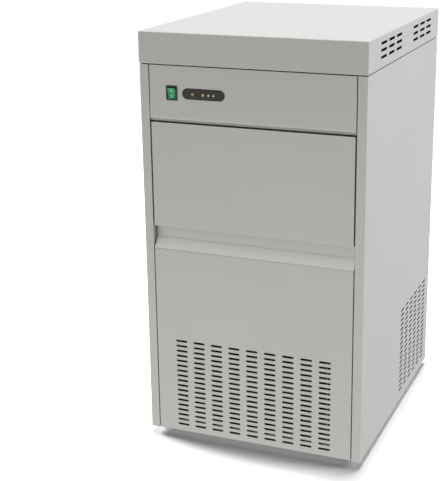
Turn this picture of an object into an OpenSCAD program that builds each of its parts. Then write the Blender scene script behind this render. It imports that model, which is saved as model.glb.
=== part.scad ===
// Flake ice machine with its own storage bin: stainless cabinet, bin door hinged at its top edge,
// upright auger evaporator behind the bin, air cooled condenser behind the front grille.
// Millimetres. +Z is up and the front faces -Y. The origin lies on the floor under the middle of
// the machine. Modules are written in cabinet coordinates: x from the middle, y from the front
// faces, z from the underside of the cabinet. place() moves them to the shared frame.

/* [Cabinet] */
// Width over the side panels
cabinet_w = 500; // [490:1:600]
// Depth from the front faces to the back of the rear panel
cabinet_d = 600; // [595:1:680]
// Height from the underside of the cabinet to the top of the cover
cabinet_h = 910; // [900:1:980]
// Thickness of the stainless sheet
sheet_t = 1; // [0.8:0.1:1.2]
// Face width of the front posts
post_w = 20.5; // [18:0.5:24]
// Depth of the flange behind each post
post_return = 14; // [13:1:18]
// Width of the inward flanges of the side panels
flange_w = 18; // [15:1:20]
// Thickness of the base pan
base_t = 1.2; // [1:0.1:2]
// Height of the base pan's rim
base_rim = 22; // [15:1:30]
// Height of the rubber feet below the cabinet
foot_h = 15; // [12:1:40]
// Diameter of a rubber foot
foot_d = 30; // [24:1:36]
// Distance of the feet from the front and the rear
foot_end = 60; // [50:1:90]

/* [Cover] */
// Height of the cover
cover_h = 68; // [62:1:90]
// How far the cover stands out past the body all round
cover_overhang = 1; // [0.5:0.5:5]
// Thickness of the foam seal under the cover
cover_seal_t = 1.5; // [1:0.5:4]
// Length of a vent slot in the cover
cover_slot_l = 45; // [30:1:50]
// Height of a vent slot in the cover
cover_slot_h = 6; // [3:0.5:8]
// Spacing of the cover's slots along the side
cover_pitch_y = 61; // [55:1:64]
// Spacing of the cover's slots up the side
cover_pitch_z = 14.3; // [10:0.1:16]
// Distance of each slot group from the middle of the cover
cover_group_y = 133.5; // [110:0.5:140]

/* [Front] */
// Height of the lower panel's face
lower_panel_h = 435; // [425:1:440]
// Height of the finger recess under the door
recess_h = 51; // [46:1:60]
// Depth of the finger recess
recess_depth = 26; // [25.5:0.5:32]
// Rise of the recess's sloping shelf
shelf_rise = 23; // [14:1:24]
// Height of the control panel's face
control_panel_h = 113.5; // [110:0.5:124]
// Thickness of the bin door with its inner panel
door_t = 22; // [18:0.5:22]
// Rise of the door's undercut lower edge
door_undercut = 18; // [10:1:22]
// Gap between the door and each post
door_gap = 2.5; // [1.5:0.5:4]
// Gap between the fixed front panels and each post
panel_gap = 1.5; // [1:0.5:3]
// Gap above the door
door_top_gap = 3; // [3:0.5:6]
// Depth of the control panel's bevelled lower edge
bevel_depth = 3.5; // [2:0.5:9]
// Drop of the control panel's bevelled lower edge
bevel_drop = 7; // [4:0.5:9]
// Diameter of the door's hinge pins
pin_d = 5; // [4:0.5:6]

/* [Vents] */
// Length of a vent slot
slot_l = 27; // [20:1:34]
// Height of a vent slot
slot_h = 5; // [3:0.5:7]
// Spacing of the slot columns
slot_pitch = 42; // [38:1:44]
// Spacing of the slot rows
row_pitch = 12; // [10:0.5:13]
// Number of slot rows at the front and the sides
vent_rows = 18; // [6:1:18]
// Number of slot columns in the lower front panel
front_cols = 9; // [3:1:9]
// Number of slot columns in each side panel
side_cols = 6; // [2:1:6]
// Height of the lowest front row
front_vent_z = 17.5; // [12:0.5:40]
// Height of the lowest side row
side_vent_z = 26; // [15:0.5:40]
// Distance of the last side column from the rear
side_vent_end = 50; // [36:1:80]
// Number of slot rows in the rear panel
rear_rows = 9; // [3:1:9]
// Number of slot columns in the rear panel
rear_cols = 7; // [3:1:7]

/* [Bin] */
// Thickness of the bin's insulation
foam_t = 33; // [28:1:36]
// Wall of the bin liner
liner_t = 2.5; // [2:0.5:4]
// Radius of the liner's rear corners
liner_r = 8; // [6:1:12]
// Height of the deck that carries the bin
deck_z = 300; // [296:1:305]
// Thickness of the deck
deck_t = 1.5; // [1.2:0.1:2.5]
// Width of the door gasket
gasket_w = 10; // [8:1:14]
// Distance of the bin drain from the liner's side
drain_side = 66; // [50:1:96]

/* [Ice maker] */
// Bore of the evaporator barrel
barrel_d = 84; // [80:1:88]
// Wall of the evaporator barrel
barrel_wall = 2.5; // [2:0.5:3]
// Outside diameter of the evaporator's coil tube
coil_tube_d = 10; // [8:0.5:10]
// Number of turns of the evaporator's coil
coil_turns = 12; // [8:1:14]
// Thickness of the evaporator's insulating jacket
jacket_t = 15; // [10:1:16]
// Diameter of the auger's core
auger_core_d = 56; // [44:1:62]
// Rise of the auger's flight in one turn
auger_pitch = 44; // [36:1:60]
// Thickness of the auger's flight
flight_t = 5; // [4:0.5:8]
// Diameter of the auger's shaft ends
shaft_d = 16; // [12:1:20]
// Height of the gearbox
gearbox_h = 75; // [70:1:85]
// Diameter of the drive motor
motor_d = 88; // [70:1:90]

/* [Water] */
// Width and depth of the float tank
tank_w = 86; // [80:1:88]
// Height of the float tank
tank_h = 100; // [95:1:110]
// Wall of the float tank
tank_t = 2.5; // [2:0.5:3]
// Outside diameter of the water hoses
hose_d = 14; // [12:0.5:16]
// Outside diameter of the threaded water inlet
inlet_d = 26.4; // [20:0.1:28]
// Outside diameter of the drain spigot
spigot_d = 20; // [16:1:22]

/* [Cooling] */
// Diameter of the compressor shell
compressor_d = 150; // [130:1:156]
// Height of the compressor shell
compressor_h = 185; // [160:1:200]
// Width of the condenser between its end plates
condenser_w = 330; // [300:1:336]
// Depth of the condenser's fins
condenser_d = 46; // [40:1:50]
// Height of the condenser's fins
condenser_h = 222; // [214:1:230]
// Spacing of the condenser's fins
fin_pitch = 6; // [5:0.5:12]
// Outside diameter of the condenser's tube
condenser_tube_d = 9; // [7:0.5:10]
// Diameter of the fan
fan_d = 196; // [160:1:200]
// Number of fan blades
fan_blades = 5; // [3:1:6]

/* [Controls] */
// Width of the switch bezel
bezel_w = 25.5; // [22:0.5:30]
// Height of the switch bezel
bezel_h = 31.3; // [28:0.1:36]
// Distance of the switch from the middle
switch_x = 176; // [160:1:190]
// Height of the switch above the control panel's lower edge
switch_rise = 56; // [54:1:64]
// Tilt of the rocker in its stored position
rocker_tilt = 8; // [4:1:10]
// Width of the indicator plate
indicator_w = 96.4; // [90:0.1:100]
// Height of the indicator plate
indicator_h = 23.4; // [18:0.1:28]
// Distance of the indicator plate from the middle
indicator_x = 103.5; // [100:0.5:106]

/* [Hidden] */
$fn = 64;

// Fits and clearances
fit_gap = 0.3;
shaft_gap = 0.05;
hole_gap = 0.1;
past = 1;

// Cabinet
inner_x = cabinet_w / 2 - sheet_t;
post_x = cabinet_w / 2 - post_w;
body_h = cabinet_h - cover_h - cover_seal_t;
rear_y = cabinet_d - sheet_t;
base_top = sheet_t + base_t;
base_front = post_return + 1;
foot_x = cabinet_w / 2 - flange_w - foot_d / 2 - 7;
foot_stud_d = 8;
screw_hole_r = 2.1;
screw_r = 2;

// Front
door_z = lower_panel_h + recess_h;
control_z = body_h - control_panel_h;
bevel_z = control_z - bevel_drop;
door_top = bevel_z - door_top_gap;
door_w = 2 * (post_x - door_gap);
panel_w = 2 * (post_x - panel_gap);
panel_return = 12;
pivot_y = 9;
pivot_z = door_top - 15;
door_skin_t = door_t - 2;
door_top_flange = 12;
inner_panel_x = door_w / 2 - 4;
inner_panel_z0 = door_z + door_undercut + 2;
inner_panel_z1 = pivot_z - pin_d / 2 - 2;
gasket_x = inner_panel_x - 3;
gasket_z0 = inner_panel_z0 + 2;
gasket_z1 = inner_panel_z1 - 2;
mouth_x = gasket_x - gasket_w - 3;
mouth_z0 = gasket_z0 + gasket_w + 2;
mouth_z1 = gasket_z1 - gasket_w - 2;

// Ice maker, upright behind the bin
maker_y = cabinet_d - 82;
deck_top = deck_z + deck_t;
gearbox_w = 120;
gearbox_d = 100;
adapter_z = deck_top + gearbox_h;
adapter_h = 40;
barrel_z = adapter_z + adapter_h;
barrel_r = barrel_d / 2;
barrel_out_r = barrel_r + barrel_wall;
coil_steps = 18;
// The coil is drawn in chords, whose middles stay clear of the barrel
coil_r = (barrel_out_r + coil_tube_d / 2 + fit_gap) / cos(180 / coil_steps);
jacket_in_r = coil_r + coil_tube_d / 2 + fit_gap;
jacket_r = jacket_in_r + jacket_t;
flange_r = jacket_in_r - fit_gap;
flange_t = 6;
jacket_z = barrel_z + 32;
shaft_r = shaft_d / 2;
flight_r = barrel_r - 0.4;
coupling_r = 15;

// Bin
bin_front = recess_depth + sheet_t;
bin_back = maker_y - jacket_r - 12;
bin_roof = control_z + 38;
liner_x = inner_x - foam_t;
liner_back = bin_back - foam_t;
liner_floor = deck_top + foam_t;
liner_top = bin_roof - foam_t;
drain_x = liner_x - drain_side;
drain_y = liner_back - 60;
drain_r = spigot_d / 2;
drain_bore_r = drain_r - 3;
drain_tail = 25;
probe_x = 150;
probe_r = 6;
probe_z = liner_top - 22;
probe_l = 120;

// Top of the ice maker, tied to the bin's roof so the chute always falls forward
head_t = 20;
head_z = bin_roof + 2 - head_t;
barrel_h = head_z - barrel_z;
spout_z = head_z + head_t;
spout_h = 60;
spout_wall = 2.5;
spout_front = maker_y - flange_r - 3;
chute_x = 38;
chute_t = 2;
chute_y0 = liner_back - 58;
chute_y1 = liner_back - 7;
coil_z0 = jacket_z + 12;
coil_z1 = head_z - flange_t - 14;
coil_tail = jacket_r + 12;
tail_y = maker_y + 10;

// Water
tank_x = -(inner_x - 94);
tank_y = maker_y - 3;
tank_z = head_z - 145;
valve_x = -(inner_x - 64);
valve_z = barrel_z + 14;
water_y = rear_y - 20;
float_z = tank_z + tank_h - 18;
float_pivot_y = tank_y + tank_w / 2 - 14;
float_stub_z = float_z - 20;
float_r = 7;
float_pin_r = 1.5;
hose_r = hose_d / 2;
hose_tail_r = hose_r - 2;
barrel_inlet_z = barrel_z + 18;
barrel_inlet_x = barrel_out_r + 18;
inlet_reach = 20;

// Cooling
compressor_x = -120;
compressor_y = cabinet_d - 170;
mount_h = 12;
plate_w = compressor_d + 30;
plate_d = compressor_d - 10;
plate_t = 3;
compressor_z = base_top + mount_h;
condenser_y = 24;
condenser_z = base_top + 14;
condenser_top = condenser_z + condenser_h;
tube_rows = 8;
tube_r = condenser_tube_d / 2;
tube_pitch = (condenser_h - 20) / tube_rows;
tube_front_y = condenser_y + condenser_d * 0.25;
tube_back_y = condenser_y + condenser_d * 0.75;
shroud_y = condenser_y + condenser_d;
shroud_t = 1.5;
fan_z = condenser_z + condenser_h / 2;
fan_y = shroud_y + 24;
collar_r = fan_d / 2 + 4;
motor_y = shroud_y + 52;
fan_motor_l = 60;
line_r = 4;
suction_r = 6;
suction_z = base_top + 98;
discharge_z = compressor_z + 150;
line_x = -(inner_x - 30);
drier_z = base_top + 58;
drier_y0 = compressor_y - 190;
drier_l = 110;
drier_end_y = drier_y0 + drier_l;

// Rear connections
drain_out_z = 50;
gland_z = 50;
gland_x = -150;
gland_r = 8;
gland_bore_r = 4.5;
rear_reach = 25;

// Controls
switch_z = control_z + switch_rise;
window_w = bezel_w - 7.5;
window_h = bezel_h - 5.3;
cutout_w = bezel_w - 3.5;
cutout_h = bezel_h - 2.8;
rocker_y = 3;
rocker_w = window_w - 0.8;
rocker_half = window_h / 2 - 1;
trunnion_r = 1.5;
led_r = 2.5;
box_x = 70;
box_w = 140;
box_d = 110;
box_h = 48;
led_x = [-24.1, -0.3, 12.3, 23.8];

// Shared frame: the overall depth runs from the rocker's tip or the cover to the drain spigot's end
rocker_out = 6;
rocker_tip = rocker_out * cos(rocker_tilt) + (rocker_half - 0.4) * sin(rocker_tilt) - rocker_y;
front_reach = max(cover_overhang, rocker_tip);
front_y = -(cabinet_d + rear_reach - front_reach) / 2;

module place() {
    translate([0, front_y, foot_h]) children();
}

// A flat outline in (y, z), drawn out along x about the middle
module along_x(length) {
    translate([-length / 2, 0, 0]) rotate([90, 0, 90]) linear_extrude(length) children();
}

// A flat outline in (x, z), drawn out along +y from y = 0
module along_y(length) {
    translate([0, length, 0]) rotate([90, 0, 0]) linear_extrude(length) children();
}

// A round bar along +y from y = 0
module bar_y(r, length) {
    rotate([-90, 0, 0]) cylinder(r = r, h = length);
}

// A round bar along +x from x = 0
module bar_x(r, length) {
    rotate([0, 90, 0]) cylinder(r = r, h = length);
}

module slot(length, height) {
    square([length - height, height], center = true);
    for (side = [-1, 1]) translate([side * (length - height) / 2, 0]) circle(d = height);
}

// Rows and columns of slots, from the lowest slot of the first column
module slot_grid(cols, rows, pitch_a, pitch_b, length, height) {
    for (i = [0:cols - 1], j = [0:rows - 1]) {
        translate([i * pitch_a, j * pitch_b]) slot(length, height);
    }
}

function unit(v) = v / norm(v);
function left_of(a, b) = let (u = unit(b - a)) [-u.y, u.x];

// The inner corner of a bent sheet
function inner_corner(p, i, t) =
    i == 0 ? p[0] + t * left_of(p[0], p[1])
    : i == len(p) - 1 ? p[i] + t * left_of(p[i - 1], p[i])
    : let (n1 = left_of(p[i - 1], p[i]), n2 = left_of(p[i], p[i + 1])) p[i] + t * (n1 + n2) / (1 + n1 * n2);

// Closed outline of a sheet bent along p, its thickness on the left of the way
function bent(p, t) = concat(p, [for (i = [len(p) - 1:-1:0]) inner_corner(p, i, t)]);

// A route with its corners rounded
function rounded(p, r, steps = 4) = [
    for (i = [0:len(p) - 1]) each
        (i == 0 || i == len(p) - 1) ? [p[i]]
        : let (a = p[i] + r * unit(p[i - 1] - p[i]), b = p[i] + r * unit(p[i + 1] - p[i]))
            [for (k = [0:steps]) let (u = k / steps, v = 1 - u) v * v * a + 2 * u * v * p[i] + u * u * b]
];

function tangent(p, i) =
    i == 0 ? unit(p[1] - p[0])
    : i == len(p) - 1 ? unit(p[i] - p[i - 1])
    : unit(unit(p[i + 1] - p[i]) + unit(p[i] - p[i - 1]));

function start_side(t) = unit(cross(t, abs(t.z) < 0.9 ? [0, 0, 1] : [1, 0, 0]));

// One direction across the route for each point, carried along without twist
function carried(p, i = 0, last = undef) =
    i == len(p) ? []
    : let (t = tangent(p, i), s = i == 0 ? start_side(t) : unit(last - (last * t) * t))
        concat([s], carried(p, i + 1, s));

// A closed skin over rings of points, each ring anticlockwise seen from the far end
module skin(rings) {
    n = len(rings[0]);
    last = len(rings) - 1;
    points = [for (ring = rings) each ring];
    walls = [
        for (i = [0:last - 1], k = [0:n - 1])
            let (m = (k + 1) % n) [i * n + k, (i + 1) * n + k, (i + 1) * n + m, i * n + m]
    ];
    near = [for (k = [0:n - 1]) k];
    far = [for (k = [n - 1:-1:0]) last * n + k];
    polyhedron(points, concat([near, far], walls));
}

module tube(route, r, sides = 8) {
    s = carried(route);
    skin([
        for (i = [0:len(route) - 1])
            let (t = tangent(route, i), u = cross(t, s[i]), step = 360 / sides)
                [for (k = [0:sides - 1]) route[i] + r * (cos(k * step) * s[i] + sin(k * step) * u)]
    ]);
}

/* Cabinet */

module base_pan() {
    w = 2 * inner_x;
    d = rear_y - sheet_t - fit_gap - base_front;
    color("silver") place() difference() {
        translate([-w / 2, base_front, sheet_t]) cube([w, d, base_rim]);
        translate([-w / 2 + base_t, base_front + base_t, base_top])
            cube([w - 2 * base_t, d - 2 * base_t, base_rim]);
        foot_places() translate([0, 0, sheet_t - past])
            cylinder(d = foot_stud_d + 2 * hole_gap, h = base_t + 2 * past);
    }
}

module foot_places() {
    for (x = [-foot_x, foot_x], y = [foot_end, cabinet_d - foot_end]) translate([x, y, 0]) children();
}

// Rubber foot with a bonded stud and its nut above the pan
module rubber_feet() {
    pad_h = foot_h + sheet_t;
    color("dimgray") place() foot_places() {
        translate([0, 0, -foot_h]) cylinder(d1 = foot_d - 4, d2 = foot_d, h = pad_h);
        cylinder(d = foot_stud_d, h = base_top + 12);
        translate([0, 0, base_top]) cylinder(d = 15, h = 6.5, $fn = 6);
    }
}

module side_panel() {
    outer = cabinet_w / 2;
    plan = [[post_x, post_return], [post_x, 0], [outer, 0], [outer, rear_y], [outer - flange_w, rear_y]];
    ledge_y = post_return + 4;
    ledge_d = rear_y - flange_w - 2 - ledge_y;
    vent_y = cabinet_d - side_vent_end - (side_cols - 1) * slot_pitch;
    difference() {
        union() {
            linear_extrude(body_h) polygon(bent(plan, sheet_t));
            for (z = [0, body_h - sheet_t]) {
                translate([outer - flange_w, ledge_y, z]) cube([flange_w - sheet_t / 2, ledge_d, sheet_t]);
            }
        }
        translate([inner_x - past, vent_y, side_vent_z]) rotate([90, 0, 90])
            linear_extrude(sheet_t + 2 * past)
                slot_grid(side_cols, vent_rows, slot_pitch, row_pitch, slot_l, slot_h);
        translate([post_x - past, pivot_y, pivot_z]) bar_x(pin_d / 2 + shaft_gap, sheet_t + 2 * past);
        screw_places() translate([0, -3 * sheet_t, 0]) bar_y(screw_hole_r, 4 * sheet_t);
    }
}

module right_side_panel() {
    color("gainsboro") place() side_panel();
}

module left_side_panel() {
    color("gainsboro") place() mirror([1, 0, 0]) side_panel();
}

// Screws of the rear panel, on its outer face
module screw_places() {
    for (x = [-1, 1], i = [0:4]) {
        translate([x * (cabinet_w / 2 - flange_w / 2), cabinet_d, 40 + i * (body_h - 80) / 4]) children();
    }
}

module panel_screws() {
    color("silver") place() screw_places() {
        translate([0, -8, 0]) bar_y(screw_r, 8.5);
        rotate([-90, 0, 0]) cylinder(r1 = 3.8, r2 = 2.6, h = 2.2);
    }
}

module rear_panel() {
    ledge_x = cabinet_w / 2 - flange_w - 1;
    vent_x = -(rear_cols - 1) * slot_pitch / 2;
    color("gainsboro") place() difference() {
        union() {
            translate([-cabinet_w / 2, rear_y, 0]) cube([cabinet_w, sheet_t, body_h]);
            translate([-ledge_x, cabinet_d - flange_w, body_h - sheet_t])
                cube([2 * ledge_x, flange_w, sheet_t]);
        }
        translate([vent_x, rear_y - past, 110]) along_y(sheet_t + 2 * past)
            slot_grid(rear_cols, rear_rows, slot_pitch, row_pitch, slot_l, slot_h);
        screw_places() translate([0, -2 * sheet_t, 0]) bar_y(screw_hole_r, 3 * sheet_t);
        translate([valve_x, rear_y - past, valve_z]) bar_y(inlet_d / 2 + fit_gap, sheet_t + 2 * past);
        translate([drain_x, rear_y - past, drain_out_z]) bar_y(drain_r + hole_gap, sheet_t + 2 * past);
        translate([gland_x, rear_y - past, gland_z]) bar_y(gland_r + hole_gap, sheet_t + 2 * past);
    }
}

module top_cover() {
    ov = cover_overhang;
    w = cabinet_w + 2 * ov;
    d = cabinet_d + 2 * ov;
    z0 = body_h + cover_seal_t;
    rim = flange_w + ov;
    group_y = cabinet_d / 2 + 6 - cover_pitch_y;
    color("gainsboro") place() difference() {
        translate([-w / 2, -ov, z0]) cube([w, d, cover_h]);
        translate([-w / 2 + sheet_t, -ov + sheet_t, z0 + sheet_t])
            cube([w - 2 * sheet_t, d - 2 * sheet_t, cover_h - 2 * sheet_t]);
        translate([-w / 2 + rim, -ov + rim, z0 - past])
            cube([w - 2 * rim, d - 2 * rim, sheet_t + 2 * past]);
        for (group = [-1, 1]) {
            translate([-w / 2 - past, group_y + group * cover_group_y, z0 + 37 - cover_pitch_z])
                rotate([90, 0, 90]) linear_extrude(w + 2 * past)
                    slot_grid(3, 3, cover_pitch_y, cover_pitch_z, cover_slot_l, cover_slot_h);
        }
    }
}

module cover_seal() {
    inset = 4;
    strip = 8;
    color("black") place() translate([0, 0, body_h]) linear_extrude(cover_seal_t) difference() {
        translate([-cabinet_w / 2 + inset, inset]) square([cabinet_w - 2 * inset, cabinet_d - 2 * inset]);
        translate([-cabinet_w / 2 + inset + strip, inset + strip])
            square([cabinet_w - 2 * (inset + strip), cabinet_d - 2 * (inset + strip)]);
    }
}

module control_panel() {
    fold = [[flange_w, body_h], [0, body_h], [0, control_z], [bevel_depth, bevel_z], [flange_w, bevel_z]];
    color("gainsboro") place() difference() {
        union() {
            along_x(panel_w) polygon(bent(fold, sheet_t));
            for (side = [0, 1]) mirror([side, 0, 0]) {
                translate([panel_w / 2 - sheet_t, 0, control_z])
                    cube([sheet_t, panel_return, body_h - control_z - sheet_t / 2]);
            }
        }
        translate([-switch_x, -past, switch_z]) along_y(sheet_t + 2 * past)
            square([cutout_w, cutout_h], center = true);
        translate([-indicator_x, -past, switch_z]) along_y(sheet_t + 2 * past)
            slot(indicator_w - 8, indicator_h - 8);
    }
}

module lower_front_panel() {
    shelf_end = recess_depth - fit_gap;
    fold = [
        [shelf_end, lower_panel_h + shelf_rise - 14], [shelf_end, lower_panel_h + shelf_rise],
        [0, lower_panel_h], [0, 0], [flange_w, 0]
    ];
    vent_x = -(front_cols - 1) * slot_pitch / 2;
    color("gainsboro") place() difference() {
        union() {
            along_x(panel_w) polygon(bent(fold, sheet_t));
            for (side = [0, 1]) mirror([side, 0, 0]) {
                translate([panel_w / 2 - sheet_t, 0, sheet_t / 2])
                    cube([sheet_t, panel_return, lower_panel_h - sheet_t]);
            }
        }
        translate([vent_x, -past, front_vent_z]) along_y(sheet_t + 2 * past)
            slot_grid(front_cols, vent_rows, slot_pitch, row_pitch, slot_l, slot_h);
    }
}

/* Bin and door */

// Sheet frame round the bin's mouth, also the back of the finger recess
module bin_front_frame() {
    z0 = lower_panel_h - 6;
    return_y = post_return + 0.5;
    color("gainsboro") place() difference() {
        union() {
            translate([-inner_x, recess_depth, z0]) cube([2 * inner_x, sheet_t, bin_roof - z0]);
            for (side = [0, 1]) mirror([side, 0, 0]) {
                translate([post_x, return_y, z0])
                    cube([sheet_t, recess_depth - return_y + sheet_t / 2, control_z - z0]);
            }
        }
        translate([-mouth_x, recess_depth - past, mouth_z0])
            cube([2 * mouth_x, sheet_t + 2 * past, mouth_z1 - mouth_z0]);
    }
}

// The door's cross section, grown or shrunk by the sheet's thickness
function door_outline(in, back) = [
    [in, door_z + (in == 0 ? 0 : in * (1 + door_undercut / door_skin_t))],
    [in, door_top - in],
    [door_top_flange - in / 2, door_top - in],
    [back, pivot_z],
    [back, door_z + door_undercut * back / door_skin_t + (in == 0 ? 0 : 1.4 * in)]
];

module door_skin() {
    color("gainsboro") place() difference() {
        along_x(door_w) polygon(door_outline(0, door_skin_t));
        along_x(door_w - 2 * sheet_t) polygon(door_outline(sheet_t, door_skin_t + past));
        translate([-door_w, pivot_y, pivot_z]) bar_x(pin_d / 2 + hole_gap - shaft_gap / 2, 2 * door_w);
    }
}

module door_core() {
    top = inner_panel_z1;
    floor_rise = door_undercut / door_skin_t;
    y0 = sheet_t;
    low = door_z + 1.4 * sheet_t + 0.3;
    color("khaki") place() along_x(door_w - 2 * sheet_t)
        polygon([[y0, low + floor_rise * y0], [y0, top], [door_skin_t, top],
        [door_skin_t, low + floor_rise * door_skin_t]]);
}

module door_inner_panel() {
    color("white") place() translate([-inner_panel_x, door_skin_t, inner_panel_z0])
        cube([2 * inner_panel_x, door_t - door_skin_t, inner_panel_z1 - inner_panel_z0]);
}

module door_gasket() {
    depth = recess_depth - fit_gap - door_t;
    color("dimgray") place() translate([0, door_t, 0]) along_y(depth) difference() {
        translate([-gasket_x, gasket_z0]) square([2 * gasket_x, gasket_z1 - gasket_z0]);
        translate([-gasket_x + gasket_w, gasket_z0 + gasket_w])
            square([2 * (gasket_x - gasket_w), gasket_z1 - gasket_z0 - 2 * gasket_w]);
    }
}

// Headed pins from inside the posts through the door's end flanges
module hinge_pins() {
    reach = 9;
    color("silver") place() for (side = [0, 1]) mirror([side, 0, 0]) {
        translate([door_w / 2 - reach, pivot_y, pivot_z])
            bar_x(pin_d / 2, post_x + sheet_t + 2 - door_w / 2 + reach);
        translate([post_x + sheet_t, pivot_y, pivot_z]) bar_x(pin_d / 2 + 2, 2);
    }
}

// Plan of the liner: square at the mouth, round at the back
module liner_plan(in) {
    half = liner_x - in;
    front = bin_front + in;
    back = liner_back - in;
    r = liner_r - in;
    translate([-half, front]) square([2 * half, back - front - r]);
    translate([-half + r, front]) square([2 * (half - r), back - front]);
    for (x = [-half + r, half - r]) translate([x, back - r]) circle(r);
}

module chute_hole(clear) {
    translate([-chute_x - clear, chute_y0 - clear])
        square([2 * (chute_x + clear), chute_y1 - chute_y0 + 2 * clear]);
}

module bin_liner() {
    color("white") place() difference() {
        translate([0, 0, liner_floor]) linear_extrude(liner_top - liner_floor) liner_plan(0);
        translate([0, 0, liner_floor + liner_t])
            linear_extrude(liner_top - liner_floor - 2 * liner_t) liner_plan(liner_t);
        translate([-mouth_x, bin_front - past, mouth_z0])
            cube([2 * mouth_x, liner_t + 2 * past, mouth_z1 - mouth_z0]);
        translate([0, 0, liner_top - liner_t - past]) linear_extrude(liner_t + 2 * past)
            chute_hole(fit_gap);
        translate([drain_x, drain_y, liner_floor - past])
            cylinder(r = drain_r + hole_gap, h = liner_t + 2 * past);
        translate([probe_x, liner_back - liner_t - past, probe_z])
            bar_y(probe_r + hole_gap, liner_t + 2 * past);
    }
}

module bin_insulation() {
    color("khaki") place() difference() {
        translate([-inner_x, bin_front, deck_top])
            cube([2 * inner_x, bin_back - bin_front, bin_roof - deck_top]);
        translate([0, 0, liner_floor]) linear_extrude(liner_top - liner_floor) union() {
            liner_plan(0);
            translate([-liner_x, bin_front - past]) square([2 * liner_x, 2 * past]);
        }
        translate([0, 0, liner_top - past]) linear_extrude(foam_t + 2 * past) chute_hole(fit_gap);
        translate([drain_x, drain_y, deck_top - past])
            cylinder(r = drain_r + hole_gap, h = foam_t + 2 * past);
        translate([probe_x, liner_back - past, probe_z]) bar_y(probe_r + hole_gap, foam_t + 2 * past);
    }
}

// Closed tube for the bin's ice level sensor
module bin_probe_tube() {
    inside = liner_back - liner_t;
    color("silver") place() {
        translate([probe_x, inside - probe_l, probe_z]) bar_y(probe_r, probe_l + liner_t + foam_t + 8);
        translate([probe_x, inside - 2, probe_z]) bar_y(probe_r + 5, 2);
    }
}

module deck() {
    y0 = bin_front;
    y1 = rear_y - sheet_t - fit_gap;
    notch_d = 42;
    color("silver") place() difference() {
        union() {
            translate([-inner_x, y0, deck_z]) cube([2 * inner_x, y1 - y0, deck_t]);
            for (side = [0, 1]) mirror([side, 0, 0]) {
                translate([inner_x - deck_t, y0, deck_z - 18])
                    cube([deck_t, y1 - y0 - notch_d - 5, 18 + deck_t / 2]);
            }
        }
        for (side = [0, 1]) mirror([side, 0, 0]) {
            translate([inner_x - notch_d, y1 - notch_d, deck_z - past])
                cube([notch_d + past, notch_d + past, deck_t + 2 * past]);
        }
        translate([drain_x, drain_y, deck_z - past])
            cylinder(r = drain_r + hole_gap, h = deck_t + 2 * past);
    }
}

module bin_drain_fitting() {
    floor_z = liner_floor + liner_t;
    bottom = deck_z - drain_tail;
    color("whitesmoke") place() translate([drain_x, drain_y, 0]) rotate_extrude() polygon([
        [drain_bore_r, bottom], [drain_r, bottom], [drain_r, floor_z], [drain_r + 10, floor_z],
        [drain_r + 10, floor_z + 2], [drain_bore_r, floor_z + 2]
    ]);
}

module drain_hose() {
    inner_end = rear_y - 6 - drain_tail;
    color("gray") place() tube(rounded([
        [drain_x, drain_y, deck_z - drain_tail], [drain_x, drain_y, 160],
        [drain_x, drain_y + 60, drain_out_z],
        [drain_x, inner_end, drain_out_z]
    ], 28), drain_r + 1);
}

module drain_outlet() {
    color("whitesmoke") place() translate([drain_x, rear_y - 6 - drain_tail, drain_out_z])
        rotate([-90, 0, 0])
        rotate_extrude() polygon([
            [drain_bore_r, 0], [drain_r, 0], [drain_r, drain_tail], [drain_r + 6, drain_tail],
            [drain_r + 6, drain_tail + 6], [drain_r, drain_tail + 6], [drain_r, drain_tail + 6 + sheet_t],
            [drain_r + 6, drain_tail + 6 + sheet_t], [drain_r + 6, drain_tail + 9 + sheet_t],
            [drain_r, drain_tail + 9 + sheet_t], [drain_r, drain_tail + 6 + sheet_t + rear_reach],
            [drain_bore_r, drain_tail + 6 + sheet_t + rear_reach]
        ]);
}

// Entry for the supply cord, left without its cord
module cable_gland() {
    color("black") place() translate([gland_x, cabinet_d, gland_z]) rotate([-90, 0, 0]) difference() {
        union() {
            translate([0, 0, -sheet_t - 10]) cylinder(r = gland_r, h = 22);
            cylinder(d = 22, h = 5, $fn = 6);
            translate([0, 0, 5]) cylinder(r1 = 9.5, r2 = 7.5, h = 14);
            translate([0, 0, -sheet_t - 5]) cylinder(d = 22, h = 5, $fn = 6);
        }
        translate([0, 0, -sheet_t - 10 - past]) cylinder(r = gland_bore_r, h = 40);
    }
}

/* Ice maker */

module gearbox() {
    color("lightgray") place() translate([0, maker_y, deck_top]) difference() {
        union() {
            translate([-gearbox_w / 2, -gearbox_d / 2, 8]) cube([gearbox_w, gearbox_d, gearbox_h - 8]);
            translate([-gearbox_w / 2 - 10, -gearbox_d / 2, 0]) cube([gearbox_w + 10, gearbox_d, 9]);
        }
        translate([0, 0, gearbox_h - 25]) cylinder(r = shaft_r + shaft_gap, h = 25 + past);
    }
}

module drive_motor() {
    axis_z = deck_top + motor_d / 2 + 1;
    color("dimgray") place() translate([gearbox_w / 2, maker_y, axis_z]) {
        bar_x(motor_d / 2 - 4, 12);
        translate([12, 0, 0]) bar_x(motor_d / 2, 78);
        translate([90, 0, 0]) bar_x(motor_d / 2 - 3, 18);
    }
}

module drive_coupling() {
    color("silver") place() translate([0, maker_y, adapter_z]) rotate_extrude() polygon([
        [0, -24], [shaft_r, -24], [shaft_r, 4], [coupling_r, 4], [coupling_r, 32],
        [shaft_r + shaft_gap, 32], [shaft_r + shaft_gap, 16], [0, 16]
    ]);
}

// Housing between the gearbox and the barrel, with the shaft seal in its top
module barrel_adapter() {
    seal = shaft_r + shaft_gap;
    color("lightgray") place() translate([0, maker_y, adapter_z]) rotate_extrude() polygon([
        [coupling_r + 5, 0], [50, 0], [50, 8], [38, 8], [38, adapter_h - 8], [flange_r, adapter_h - 8],
        [flange_r, adapter_h], [seal, adapter_h], [seal, adapter_h - 6], [coupling_r + 5, adapter_h - 6]
    ]);
}

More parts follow.
